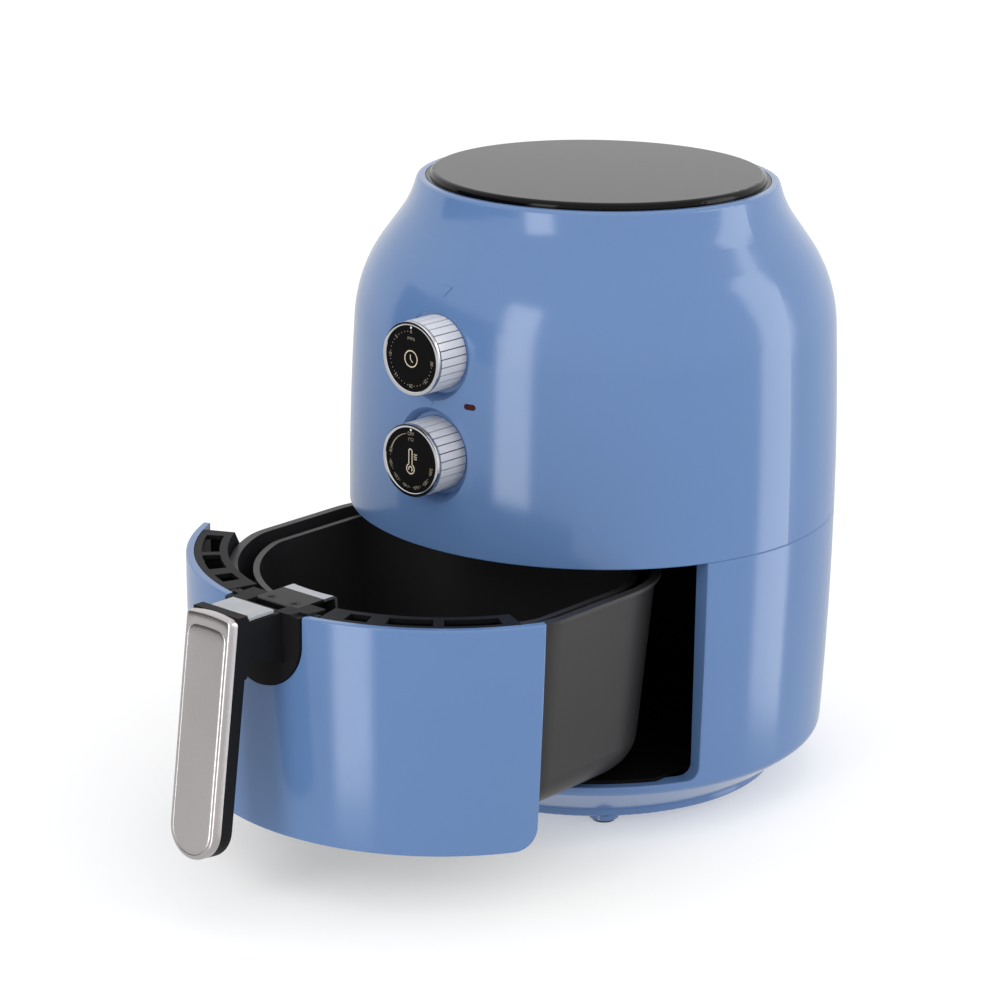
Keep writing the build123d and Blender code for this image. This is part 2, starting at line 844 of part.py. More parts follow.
# Hot chamber: a stepped dome of sheet that stands on the liner's top edge
with BuildPart() as hot_chamber:
    with BuildSketch(Plane.XZ):
        with BuildLine():
            Polyline(
                (chamber_flange_radius, seam_height),
                (chamber_flange_radius, seam_height + sheet),
                (chamber_mouth_radius, seam_height + sheet),
                (chamber_mouth_radius, seam_height + chamber_mouth_height),
                (chamber_dome_radius, seam_height + chamber_step_height),
                (chamber_dome_radius, chamber_top),
                (shaft_radius + sheet, chamber_top),
                (shaft_radius + sheet, chamber_top - sheet),
                (chamber_dome_radius - sheet, chamber_top - sheet),
                (chamber_dome_radius - sheet, seam_height + chamber_step_height - sheet),
                (chamber_mouth_radius - sheet, seam_height + chamber_mouth_height - sheet),
                (chamber_mouth_radius - sheet, seam_height),
                close=True,
            )
        make_face()
    revolve(axis=Axis.Z)
    with BuildSketch(front_plane(2 * chamber_dome_radius)):
        with Locations((0, seam_height + (duct_bottom_rise + duct_top_rise) / 2)):
            Rectangle(2 * (duct_half_width - sheet), duct_top_rise - duct_bottom_rise - 2 * sheet)
    extrude(amount=2 * chamber_dome_radius, mode=Mode.SUBTRACT)
    with Locations([(*ring_spot(r, heater_start_angle), chamber_top) for r in heater_end_radii]):
        Cylinder(heater_tube_radius + sheet / 2, 3 * sheet, mode=Mode.SUBTRACT)
hot_chamber.part.label = "hot_chamber"
export_step(hot_chamber.part, "parts/hot_chamber.step")

# Heater guard: a flat stamped grille that keeps fingers and food off the element
with BuildPart() as heater_guard:
    with BuildSketch(Plane.XY.offset(seam_height + heater_guard_rise)):
        Circle(chamber_mouth_radius - sheet - heater_guard_gap)
        for slot_radius, slot_count in heater_guard_slot_rings:
            slot_angle = 360 / slot_count - degrees(heater_guard_bar / slot_radius)
            for slot_number in range(slot_count):
                slot_start = 360 / slot_count * slot_number
                slot_line = CenterArc((0, 0), slot_radius, slot_start, slot_angle, mode=Mode.PRIVATE)
                SlotArc(slot_line, heater_guard_slot_width, mode=Mode.SUBTRACT)
    extrude(amount=sheet)
heater_guard.part.label = "heater_guard"
export_step(heater_guard.part, "parts/heater_guard.step")

# Heating element: an outer loop, a tight turn and an inner loop back, with both ends standing up
heater_start = Vector(*ring_spot(heater_outer_radius, heater_start_angle), seam_height + heater_rise)
with BuildPart() as heating_element:
    with BuildLine() as heater_path:
        outer_loop = JernArc(
            heater_start,
            (cos(radians(heater_start_angle)), sin(radians(heater_start_angle))),
            heater_outer_radius,
            heater_sweep,
        )
        turn = JernArc(outer_loop @ 1, outer_loop % 1, heater_loop_step / 2, 180)
        JernArc(turn @ 1, turn % 1, heater_outer_radius - heater_loop_step, -heater_sweep)
    with BuildSketch(Plane(origin=heater_path.line @ 0, z_dir=heater_path.line % 0)):
        Circle(heater_tube_radius)
    sweep(path=heater_path.line)
    for end in (heater_path.line @ 0, heater_path.line @ 1):
        with Locations(end):
            Sphere(heater_tube_radius)
            Cylinder(
                heater_tube_radius,
                heater_terminal_rise - heater_rise,
                align=(Align.CENTER, Align.CENTER, Align.MIN),
            )
heating_element.part.label = "heating_element"
export_step(heating_element.part, "parts/heating_element.step")

# Hangers that hold the element under the chamber's roof
with BuildPart() as heater_hangers:
    hanger_middle = heater_outer_radius - heater_loop_step / 2
    hanger_top = seam_height + heater_rise - heater_tube_radius
    for angle in hanger_angles:
        with BuildSketch(radial_plane(angle)):
            with Locations((hanger_middle, hanger_top)):
                Rectangle(
                    heater_loop_step + 2 * hanger_overlap,
                    sheet,
                    align=(Align.CENTER, Align.MAX),
                )
        extrude(amount=hanger_width / 2, both=True)
        with Locations((*ring_spot(hanger_middle, angle), hanger_top - sheet)):
            Cylinder(
                hanger_rod_radius,
                chamber_top - hanger_top,
                align=(Align.CENTER, Align.CENTER, Align.MIN),
            )
heater_hangers.part.label = "heater_hangers"
export_step(heater_hangers.part, "parts/heater_hangers.step")

# Upright shaft that carries both fans
with BuildPart() as fan_shaft:
    with Locations((0, 0, seam_height + shaft_bottom_rise)):
        Cylinder(
            shaft_radius,
            shaft_top_rise - shaft_bottom_rise,
            align=(Align.CENTER, Align.CENTER, Align.MIN),
        )
    chamfer(fan_shaft.edges().filter_by(GeomType.CIRCLE), shaft_radius / 8)
fan_shaft.part.label = "fan_shaft"
export_step(fan_shaft.part, "parts/fan_shaft.step")

# Hot-air fan: a plate with radial blades that hang over the element
with BuildPart() as hot_fan:
    with Locations((0, 0, seam_height + fan_plate_rise)):
        Cylinder(fan_radius, sheet, align=(Align.CENTER, Align.CENTER, Align.MIN))
        Cylinder(fan_hub_radius, fan_hub_length, align=(Align.CENTER, Align.CENTER, Align.MAX))
        with PolarLocations((fan_radius + fan_hub_radius) / 2, fan_blade_count):
            Box(
                fan_radius - fan_hub_radius - 2 * sheet,
                sheet,
                fan_blade_depth,
                align=(Align.CENTER, Align.CENTER, Align.MAX),
            )
        Cylinder(shaft_radius + shaft_clearance, 3 * fan_hub_length, mode=Mode.SUBTRACT)
hot_fan.part.label = "hot_fan"
export_step(hot_fan.part, "parts/hot_fan.step")

# Nut that clamps the hot-air fan on the shaft
with BuildPart() as fan_nut:
    with BuildSketch(Plane.XY.offset(seam_height + fan_plate_rise - fan_hub_length - fan_nut_height)):
        RegularPolygon(fan_nut_width / 2, 6, major_radius=False)
        Circle(shaft_radius + shaft_clearance, mode=Mode.SUBTRACT)
    extrude(amount=fan_nut_height)
fan_nut.part.label = "fan_nut"
export_step(fan_nut.part, "parts/fan_nut.step")

# Cooling fan over the chamber: a hub with tilted blades
with BuildPart() as cooling_fan:
    with Locations((0, 0, seam_height + cooler_rise)):
        Cylinder(cooler_hub_radius, cooler_height, align=(Align.CENTER, Align.CENTER, Align.MIN))
    with Locations((0, 0, seam_height + cooler_rise + cooler_height / 2)):
        with PolarLocations((cooler_radius + cooler_hub_radius / 2) / 2, cooler_blade_count):
            Box(
                cooler_radius - cooler_hub_radius / 2,
                cooler_height,
                cooler_blade_thickness,
                rotation=(cooler_blade_tilt, 0, 0),
            )
        Cylinder(shaft_radius + shaft_clearance, 3 * cooler_height, mode=Mode.SUBTRACT)
cooling_fan.part.label = "cooling_fan"
export_step(cooling_fan.part, "parts/cooling_fan.step")

# Bridge over the cooling fan, standing on the chamber's roof
with BuildPart() as motor_bridge:
    with BuildSketch(Plane.XY.offset(seam_height + bridge_rise)):
        RectangleRounded(bridge_length, bridge_width, bridge_leg_radius)
        Circle(bridge_hole_radius, mode=Mode.SUBTRACT)
    extrude(amount=sheet)
    with Locations((0, 0, chamber_top)):
        with GridLocations(2 * bridge_leg_x, 2 * bridge_leg_y, 2, 2):
            Cylinder(
                bridge_leg_radius,
                seam_height + bridge_rise - chamber_top,
                align=(Align.CENTER, Align.CENTER, Align.MIN),
            )
motor_bridge.part.label = "motor_bridge"
export_step(motor_bridge.part, "parts/motor_bridge.step")

# Motor: a square stack between two bells, with the shaft running in it
with BuildPart() as motor:
    motor_bottom = seam_height + bridge_rise + sheet
    with Locations((0, 0, motor_bottom)):
        Cylinder(
            motor_bell_radius,
            2 * motor_bell_height + motor_stack_height,
            align=(Align.CENTER, Align.CENTER, Align.MIN),
        )
    fillet(motor.edges().group_by(Axis.Z)[-1], motor_bell_height / 3)
    with BuildSketch(Plane.XY.offset(motor_bottom + motor_bell_height)):
        RectangleRounded(motor_width, motor_width, motor_bell_height / 3)
    extrude(amount=motor_stack_height)
    with Locations((0, 0, motor_bottom)):
        Cylinder(
            shaft_radius + shaft_clearance,
            shaft_top_rise - bridge_rise,
            align=(Align.CENTER, Align.CENTER, Align.MIN),
            mode=Mode.SUBTRACT,
        )
motor.part.label = "motor"
export_step(motor.part, "parts/motor.step")

# Thermal cut-out on the chamber's roof
with BuildPart() as thermal_cutout:
    with Locations((0, cutout_y, chamber_top)):
        Cylinder(cutout_radius, cutout_height, align=(Align.CENTER, Align.CENTER, Align.MIN))
        Box(3 * cutout_radius, cutout_radius, sheet, align=(Align.CENTER, Align.CENTER, Align.MIN))
thermal_cutout.part.label = "thermal_cutout"
export_step(thermal_cutout.part, "parts/thermal_cutout.step")

# Air outlet: a curved grille with level slots, set into the back of the upper case
outlet_low = seam_height + outlet_bottom_rise + outlet_clearance
outlet_high = seam_height + outlet_top_rise - outlet_clearance
with BuildPart() as air_outlet:
    with BuildSketch(radial_plane(180 - outlet_half_angle + outlet_clearance)):
        with BuildLine():
            outside = upper_wall(outlet_clearance)
            inside = upper_wall(outlet_clearance + outlet_thickness)
            Line(outside @ 0, inside @ 0)
            Line(outside @ 1, inside @ 1)
        make_face()
        with Locations((0, outlet_low)):
            Rectangle(
                2 * body_radius,
                outlet_high - outlet_low,
                align=(Align.CENTER, Align.MIN),
                mode=Mode.INTERSECT,
            )
    revolve(axis=Axis.Z, revolution_arc=2 * (outlet_half_angle - outlet_clearance))
    slot_rise = (outlet_high - outlet_low - 2 * outlet_border) / outlet_slot_count
    outlet_border_angle = degrees(outlet_border / body_radius)
    with BuildSketch(radial_plane(180 - outlet_half_angle + outlet_border_angle)):
        for slot_number in range(outlet_slot_count):
            with Locations((body_radius, outlet_low + outlet_border + slot_rise * (slot_number + 0.5))):
                Rectangle(4 * case_wall, outlet_slot_height)
    revolve(
        axis=Axis.Z,
        revolution_arc=2 * (outlet_half_angle - outlet_border_angle),
        mode=Mode.SUBTRACT,
    )
air_outlet.part.label = "air_outlet"
export_step(air_outlet.part, "parts/air_outlet.step")

# Duct from the chamber to the air outlet
with BuildPart() as exhaust_duct:
    with BuildSketch(front_plane(body_radius)):
        with Locations((0, seam_height + (duct_bottom_rise + duct_top_rise) / 2)):
            Rectangle(2 * duct_half_width, duct_top_rise - duct_bottom_rise)
            Rectangle(
                2 * (duct_half_width - sheet),
                duct_top_rise - duct_bottom_rise - 2 * sheet,
                mode=Mode.SUBTRACT,
            )
    extrude(amount=body_radius - chamber_dome_radius / 2)
    with BuildSketch(Plane.XZ):
        with BuildLine():
            outside = upper_wall(2 * outlet_clearance + outlet_thickness)
            Polyline(
                outside @ 1,
                (chamber_dome_radius + heater_guard_gap, (outside @ 1).Y),
                (chamber_dome_radius + heater_guard_gap, seam_height),
                outside @ 0,
            )
        make_face()
    revolve(axis=Axis.Z, mode=Mode.INTERSECT)
exhaust_duct.part.label = "exhaust_duct"
export_step(exhaust_duct.part, "parts/exhaust_duct.step")

# Plate behind the dials that carries the timer and the thermostat
with BuildPart() as control_bracket:
    with BuildSketch(front_plane(bracket_back_y)):
        with Locations((0, thermostat_z - bracket_under_thermostat)):
            Rectangle(
                2 * bracket_half_width,
                timer_z + bracket_over_timer - thermostat_z + bracket_under_thermostat,
                align=(Align.CENTER, Align.MIN),
            )
        with Locations((0, timer_z), (0, thermostat_z)):
            Circle(spindle_hole_radius, mode=Mode.SUBTRACT)
    extrude(amount=bracket_thickness)
control_bracket.part.label = "control_bracket"
export_step(control_bracket.part, "parts/control_bracket.step")

# Clockwork timer
with BuildPart() as timer_unit:
    with BuildSketch(front_plane(bracket_back_y + timer_depth)):
        with Locations((0, timer_z)):
            RectangleRounded(timer_width, timer_width, case_wall)
    extrude(amount=timer_depth)
    with BuildSketch(front_plane(bracket_back_y + spindle_in_unit)):
        with Locations((0, timer_z)):
            Circle(spindle_radius + spindle_clearance)
    extrude(amount=spindle_in_unit, mode=Mode.SUBTRACT)
timer_unit.part.label = "timer_unit"
export_step(timer_unit.part, "parts/timer_unit.step")

# Thermostat
with BuildPart() as thermostat_unit:
    with BuildSketch(front_plane(bracket_back_y + thermostat_depth)):
        with Locations((0, thermostat_z)):
            RectangleRounded(thermostat_width, thermostat_width, case_wall)
    extrude(amount=thermostat_depth)
    with BuildSketch(front_plane(bracket_back_y + spindle_in_unit)):
        with Locations((0, thermostat_z)):
            Circle(spindle_radius + spindle_clearance)
    extrude(amount=spindle_in_unit, mode=Mode.SUBTRACT)
thermostat_unit.part.label = "thermostat_unit"
export_step(thermostat_unit.part, "parts/thermostat_unit.step")

# Knobs: each is a fluted metal sleeve with a dial let into its face, on its own spindle
for dial_name, dial_z in (("timer", timer_z), ("thermostat", thermostat_z)):
    with BuildPart() as knob:
        with BuildSketch(front_plane(knob_base_y)):
            with Locations((0, dial_z)):
                Circle(knob_radius)
                with PolarLocations(knob_radius, flute_count):
                    Circle(flute_radius, mode=Mode.SUBTRACT)
        extrude(amount=knob_length - knob_front_ring)
        with BuildSketch(front_plane(knob_face_y + knob_front_ring)):
            with Locations((0, dial_z)):
                Circle(knob_radius)
        extrude(amount=knob_front_ring)
        chamfer(knob.edges().group_by(Axis.Y)[0], knob_front_bevel)
        with BuildSketch(front_plane(knob_face_y + dial_sink + dial_thickness)):
            with Locations((0, dial_z)):
                Circle(dial_radius + dial_clearance)
        extrude(amount=2 * knob_front_ring, mode=Mode.SUBTRACT)
        with BuildSketch(front_plane(knob_base_y)):
            with Locations((0, dial_z)):
                Circle(spindle_radius + spindle_clearance)
        extrude(amount=spindle_in_knob, mode=Mode.SUBTRACT)
    knob.part.label = f"{dial_name}_knob"
    export_step(knob.part, f"parts/{dial_name}_knob.step")

    with BuildPart() as dial:
        with BuildSketch(front_plane(knob_face_y + dial_sink + dial_thickness)):
            with Locations((0, dial_z)):
                Circle(dial_radius)
        extrude(amount=dial_thickness)
    dial.part.label = f"{dial_name}_dial"
    export_step(dial.part, f"parts/{dial_name}_dial.step")

    with BuildPart() as spindle:
        with BuildSketch(front_plane(bracket_back_y + spindle_in_unit)):
            with Locations((0, dial_z)):
                Circle(spindle_radius)
        extrude(amount=bracket_back_y + spindle_in_unit - knob_base_y + spindle_in_knob)
    spindle.part.label = f"{dial_name}_spindle"
    export_step(spindle.part, f"parts/{dial_name}_spindle.step")

# Lamp beside the dials: a long lens in the case and the holder behind it
lamp_face_y = -sqrt(body_radius**2 - lamp_x**2)
with BuildPart() as lamp_lens:
    with BuildSketch(front_plane(lamp_face_y + lamp_lens_depth)):
        with Locations((lamp_x, seam_height + lamp_rise)):
            SlotOverall(lamp_length, lamp_width)
    extrude(amount=lamp_lens_depth)
    with BuildSketch(Plane.XZ):
        with BuildLine():
            outside = upper_wall(0)
            Polyline(outside @ 1, (0, (outside @ 1).Y), (0, seam_height), outside @ 0)
        make_face()
    revolve(axis=Axis.Z, mode=Mode.INTERSECT)
lamp_lens.part.label = "lamp_lens"
export_step(lamp_lens.part, "parts/lamp_lens.step")

with BuildPart() as lamp_holder:
    with BuildSketch(front_plane(lamp_face_y + lamp_lens_depth + lamp_holder_depth)):
        with Locations((lamp_x, seam_height + lamp_rise)):
            RectangleRounded(lamp_holder_width, lamp_holder_width, lamp_width / 2)
    extrude(amount=lamp_holder_depth)
lamp_holder.part.label = "lamp_holder"
export_step(lamp_holder.part, "parts/lamp_holder.step")


def drawer_radial(angle, height, reach):
    """Upright plane that faces outwards from the drawer's axis, this far from it."""
    turn = radians(angle)
    outwards = Vector(sin(turn), -cos(turn), 0)
    return Plane(
        origin=Vector(0, -drawer_pull, height) + outwards * reach,
        x_dir=(cos(turn), sin(turn), 0),
        z_dir=outwards,
    )


def panel_end(side):
    """Plane of the panel's end on this side (1 or -1): it leans in towards the bottom and faces away."""
    turn = radians(side * panel_half_angle)
    lean = radians(panel_side_slant)
    end = ring_spot(body_radius, side * panel_half_angle)
    return Plane(
        origin=(end[0], end[1] - drawer_pull, seam_height),
        x_dir=(sin(turn), -cos(turn), 0),
        z_dir=(side * cos(turn) * cos(lean), side * sin(turn) * cos(lean), -sin(lean)),
    )


panel_screw_z = seam_height - panel_screw_drop

# Front panel: part of the lower case's side, with a notch for the handle
with BuildPart() as front_panel:
    with BuildSketch(radial_plane(-panel_half_angle, -drawer_pull)):
        with BuildLine():
            outside = lower_side(panel_flush)
            inside = lower_side(panel_flush + panel_thickness)
            Line(outside @ 0, inside @ 0)
            Line(outside @ 1, inside @ 1)
        make_face()
        with Locations((0, panel_bottom)):
            Rectangle(
                2 * body_radius,
                seam_height - panel_top_gap - panel_bottom,
                align=(Align.CENTER, Align.MIN),
                mode=Mode.INTERSECT,
            )
    revolve(axis=drawer_axis, revolution_arc=2 * panel_half_angle)
    for side in (-1, 1):
        split(bisect_by=panel_end(side), keep=Keep.BOTTOM)
    fillet(
        front_panel.edges().filter_by(GeomType.LINE).group_by(Axis.Z)[0],
        panel_corner_radius,
    )
    fillet(
        front_panel.faces().sort_by_distance((0, -drawer_pull - body_radius, sill_height))[0].edges(),
        panel_edge_round,
    )
    with BuildSketch(front_plane(-drawer_pull)):
        with Locations((0, seam_height - notch_depth + notch_half_width)):
            Rectangle(2 * notch_half_width, seam_height, align=(Align.CENTER, Align.MIN))
            Circle(notch_half_width)
    extrude(amount=2 * body_radius, mode=Mode.SUBTRACT)
    for angle in panel_screw_angles:
        with BuildSketch(drawer_radial(angle, panel_screw_z, panel_inside - panel_thickness)):
            Circle(screw_radius + screw_clearance)
        extrude(amount=panel_thickness + panel_screw_depth, mode=Mode.SUBTRACT)
front_panel.part.label = "front_panel"
export_step(front_panel.part, "parts/front_panel.step")

# Collar: a ribbed crescent that closes the space between the panel and the pan
collar_top = seam_height - collar_top_gap
with BuildPart() as collar:
    with BuildSketch(radial_plane(-collar_half_angle, -drawer_pull)):
        with Locations((collar_inner_radius, collar_top)):
            Rectangle(
                collar_outer_radius - collar_inner_radius,
                collar_plate,
                align=(Align.MIN, Align.MAX),
            )
            Rectangle(collar_skirt, collar_drop, align=(Align.MIN, Align.MAX))
        with Locations((collar_outer_radius, collar_top)):
            Rectangle(collar_skirt, collar_outer_drop, align=(Align.MAX, Align.MAX))
    revolve(axis=drawer_axis, revolution_arc=2 * collar_half_angle)
    for window_start, window_end in window_angles:
        for start in (window_start, -window_end):
            with BuildSketch(radial_plane(start, -drawer_pull)):
                with Locations((window_inner_radius, collar_top)):
                    Rectangle(
                        window_outer_radius - window_inner_radius,
                        3 * collar_plate,
                        align=(Align.MIN, Align.CENTER),
                    )
            revolve(
                axis=drawer_axis,
                revolution_arc=window_end - window_start,
                mode=Mode.SUBTRACT,
            )
    with BuildSketch(radial_plane(-collar_gap_half_angle, -drawer_pull)):
        with Locations((collar_inner_radius - collar_skirt, block_top - block_depth - collar_side_clearance)):
            Rectangle(body_radius, seam_height, align=(Align.MIN, Align.MIN))
        with Locations((collar_inner_radius + 2 * collar_skirt, 0)):
            Rectangle(body_radius, 2 * seam_height, align=(Align.MIN, Align.MIN))
    revolve(axis=drawer_axis, revolution_arc=2 * collar_gap_half_angle, mode=Mode.SUBTRACT)
    with BuildSketch(radial_plane(-collar_half_angle, -drawer_pull)):
        with Locations((collar_inner_radius + collar_skirt / 2, ledge_top)):
            Rectangle(
                collar_ledge + collar_skirt / 2,
                collar_plate,
                align=(Align.MAX, Align.MAX),
            )
    revolve(axis=drawer_axis, revolution_arc=2 * collar_half_angle)
    for side in (-1, 1):
        end_plane = drawer_radial(side * collar_half_angle, collar_top, collar_inner_radius - collar_ledge)
        with BuildSketch(end_plane):
            Polygon(
                (-side * collar_end_run, 0),
                (side * collar_end_run, 0),
                (side * collar_end_run, -2 * collar_end_fall),
                align=None,
            )
        extrude(amount=body_radius - collar_inner_radius, mode=Mode.SUBTRACT)
    for angle in panel_screw_angles:
        with BuildSketch(drawer_radial(angle, panel_screw_z, collar_outer_radius - 2 * collar_skirt)):
            Circle(screw_radius + screw_clearance)
        extrude(amount=4 * collar_skirt, mode=Mode.SUBTRACT)
        with BuildSketch(drawer_radial(angle, panel_screw_z, collar_outer_radius - collar_skirt)):
            Circle(screw_head_radius + screw_clearance)
        extrude(amount=-screw_head_height, mode=Mode.SUBTRACT)
collar.part.label = "collar"
export_step(collar.part, "parts/collar.step")

# Screws that hold the panel on the collar
with BuildPart() as panel_screws:
    for angle in panel_screw_angles:
        with BuildSketch(drawer_radial(angle, panel_screw_z, collar_outer_radius - collar_skirt)):
            Circle(screw_head_radius)
        extrude(amount=-screw_head_height)
        with BuildSketch(drawer_radial(angle, panel_screw_z, collar_outer_radius - collar_skirt)):
            Circle(screw_radius)
        extrude(amount=collar_skirt + collar_side_clearance + panel_screw_depth - screw_clearance)
panel_screws.part.label = "panel_screws"
export_step(panel_screws.part, "parts/panel_screws.step")


def pan_outline(inset):
    """Plan of the pan at its rim, moved in by the inset: a round front, straight sides and a flat back."""
    half_width = pan_half_width - inset
    front = pan_front_radius - inset
    back = pan_back - inset
    with BuildSketch(mode=Mode.PRIVATE) as outline:
        with BuildLine():
            nose = ThreePointArc(
                (-half_width, -sqrt(front**2 - half_width**2)),
                (0, -front),
                (half_width, -sqrt(front**2 - half_width**2)),
            )
            Polyline(nose @ 1, (half_width, back), (-half_width, back), nose @ 0)
        make_face()
        fillet(outline.vertices().group_by(Axis.Y)[-1], pan_corner_radius - inset)
        fillet(outline.vertices().group_by(Axis.Y)[0], pan_shoulder_radius - inset)
    return outline.sketch


def tray_form(inset, rim, bottom, bottom_radius):
    """Solid form of a tapered tray, its rim outline moved in by the inset."""
    with BuildPart(mode=Mode.PRIVATE) as form:
        with BuildSketch(drawer_level(rim)):
            add(pan_outline(inset))
        extrude(amount=bottom - rim, taper=pan_taper)
        fillet(form.faces().sort_by(Axis.Z)[0].edges(), bottom_radius)
    return form.part


# Pan: a drawn tray with a turned-out lip, and fins on its floor that the basket stands on
with BuildPart() as pan:
    with BuildSketch(drawer_level(pan_rim)):
        add(pan_outline(-pan_lip))
    extrude(amount=-pan_lip_thickness)
    add(tray_form(0, pan_rim, pan_bottom, pan_bottom_radius))
    add(
        tray_form(pan_wall, pan_rim, pan_bottom + pan_wall, pan_bottom_radius - pan_wall),
        mode=Mode.SUBTRACT,
    )
    with Locations((0, -drawer_pull, pan_bottom + pan_wall / 2)):
        with PolarLocations(fin_inner_radius + fin_length / 2, fin_count, start_angle=fin_start_angle):
            Box(
                fin_length,
                fin_thickness,
                basket_bottom - pan_bottom - pan_wall / 2,
                align=(Align.CENTER, Align.CENTER, Align.MIN),
            )
pan.part.label = "pan"
export_step(pan.part, "parts/pan.step")

# Place and slant of the basket's front wall, which the strap and its rivets follow
wall_slant = tan(radians(pan_taper))
basket_front = pan_front_radius - basket_inset
rivet_z = basket_rim - rivet_drop
rivet_reach = basket_front - rivet_drop * wall_slant
rivet_grip = basket_wall + strap_thickness + strap_wall_gap


def rivet_plane(angle, depth):
    """Plane along the basket's front wall at this angle, this far inside its outer face."""
    across = drawer_radial(angle, rivet_z, rivet_reach)
    outwards = across.z_dir * cos(radians(pan_taper)) - Vector(0, 0, sin(radians(pan_taper)))
    return Plane(origin=across.origin - outwards * depth, x_dir=across.x_dir, z_dir=outwards)


# Basket: side walls with a rolled lip, open below where the sieve floor lies
with BuildPart() as basket:
    with BuildSketch(drawer_level(basket_rim)):
        add(pan_outline(basket_inset - basket_lip))
    extrude(amount=-basket_lip_thickness)
    add(tray_form(basket_inset, basket_rim, basket_bottom, basket_bottom_radius))
    add(
        tray_form(
            basket_inset + basket_wall,
            basket_rim,
            basket_bottom + basket_wall,
            basket_bottom_radius - basket_wall,
        ),
        mode=Mode.SUBTRACT,
    )
    with BuildSketch(drawer_level(basket_bottom - basket_wall)):
        add(pan_outline(basket_inset + floor_opening_inset))
    extrude(amount=3 * basket_wall, mode=Mode.SUBTRACT)
    for angle in (-rivet_angle, rivet_angle):
        with BuildSketch(rivet_plane(angle, 2 * basket_wall)):
            Circle(rivet_radius + rivet_clearance)
        extrude(amount=4 * basket_wall, mode=Mode.SUBTRACT)
basket.part.label = "basket"
export_step(basket.part, "parts/basket.step")

# Sieve floor of the basket, with as many rings of holes as fit over the opening
floor_half_length = (pan_back + pan_front_radius) / 2
sieve_reach = min(pan_half_width, floor_half_length) - basket_inset - floor_opening_inset
ring_count = int((sieve_reach - hole_radius - hole_margin - first_ring_radius) / ring_pitch) + 1
with BuildPart() as basket_floor:
    with BuildSketch(drawer_level(basket_bottom + basket_wall)):
        add(pan_outline(basket_inset + floor_opening_inset - floor_overlap))
        with Locations((0, pan_back - floor_half_length)):
            Circle(hole_radius, mode=Mode.SUBTRACT)
            for ring in range(ring_count):
                with PolarLocations(first_ring_radius + ring * ring_pitch, (ring + 1) * first_ring_count):
                    Circle(hole_radius, mode=Mode.SUBTRACT)
    extrude(amount=floor_thickness)
basket_floor.part.label = "basket_floor"
export_step(basket_floor.part, "parts/basket_floor.step")

# Side view of the drawer: local x runs forwards from the drawer's axis, local y is up
drawer_side = Plane(origin=(0, -drawer_pull, 0), x_dir=(0, -1, 0), z_dir=(-1, 0, 0))
block_back = collar_inner_radius + block_back_clearance
leg_bottom = basket_rim - strap_leg
leg_inset = basket_inset + basket_wall + strap_wall_gap - (block_top - basket_rim) * wall_slant


def wall_form(inset):
    """Solid form that follows the slant of the basket's wall, from the strap's top down to its end."""
    with BuildPart(mode=Mode.PRIVATE) as form:
        with BuildSketch(drawer_level(block_top)):
            add(pan_outline(inset))
        extrude(amount=leg_bottom - block_top, taper=pan_taper)
    return form.part


# Strap: runs from the handle over the pan's rim and down inside the basket's front wall
with BuildPart() as basket_strap:
    add(wall_form(leg_inset))
    with BuildSketch(drawer_side):
        with Locations((0, block_top)):
            Rectangle(
                block_back + strap_seat,
                strap_thickness,
                align=(Align.MIN, Align.MAX),
            )
    extrude(amount=strap_width / 2, both=True)
    add(wall_form(leg_inset + strap_thickness), mode=Mode.SUBTRACT)
    with BuildSketch(drawer_side):
        with Locations((0, leg_bottom)):
            Rectangle(
                block_back + strap_seat,
                block_top - leg_bottom,
                align=(Align.MIN, Align.MIN),
            )
    extrude(amount=strap_width / 2, both=True, mode=Mode.INTERSECT)
    under = block_top - strap_thickness
    fillet(
        basket_strap.edges().filter_by_position(Axis.Z, under, under).sort_by(Axis.Y)[-1],
        strap_bend_radius - strap_thickness,
    )
    fillet(
        basket_strap.faces().sort_by(Axis.Z)[-1].edges().sort_by(Axis.Y)[-1],
        strap_bend_radius,
    )
    for angle in (-rivet_angle, rivet_angle):
        with BuildSketch(rivet_plane(angle, 3 * basket_wall)):
            Circle(rivet_radius + rivet_clearance)
        extrude(amount=4 * basket_wall, mode=Mode.SUBTRACT)
        with BuildSketch(rivet_plane(angle, rivet_grip)):
            Circle(rivet_head_radius + rivet_clearance)
        extrude(amount=-rivet_head_height, mode=Mode.SUBTRACT)
    with Locations((0, -drawer_pull - block_back - strap_seat / 2, block_top)):
        with GridLocations(strap_screw_spacing, strap_screw_spacing, 2, 1):
            CounterSinkHole(screw_radius + screw_clearance, screw_head_radius + screw_clearance)
basket_strap.part.label = "basket_strap"
export_step(basket_strap.part, "parts/basket_strap.step")

# Rivets through the strap and the basket's front wall
with BuildPart() as strap_rivets:
    for angle in (-rivet_angle, rivet_angle):
        with BuildSketch(rivet_plane(angle, rivet_grip)):
            Circle(rivet_radius)
        extrude(amount=rivet_grip)
        with BuildSketch(rivet_plane(angle, 0)):
            Circle(rivet_head_radius)
        extrude(amount=rivet_head_height)
        with BuildSketch(rivet_plane(angle, rivet_grip)):
            Circle(rivet_head_radius)
        extrude(amount=-rivet_head_height)
strap_rivets.part.label = "strap_rivets"
export_step(strap_rivets.part, "parts/strap_rivets.step")

# Countersunk screws that hold the strap down on the handle
with BuildPart() as strap_screws:
    with Locations((0, -drawer_pull - block_back - strap_seat / 2, block_top)):
        with GridLocations(strap_screw_spacing, strap_screw_spacing, 2, 1):
            Cylinder(screw_radius, strap_screw_length, align=(Align.CENTER, Align.CENTER, Align.MAX))
            Cone(
                screw_radius,
                screw_head_radius,
                screw_head_radius - screw_radius,
                align=(Align.CENTER, Align.CENTER, Align.MAX),
            )
strap_screws.part.label = "strap_screws"
export_step(strap_screws.part, "parts/strap_screws.step")

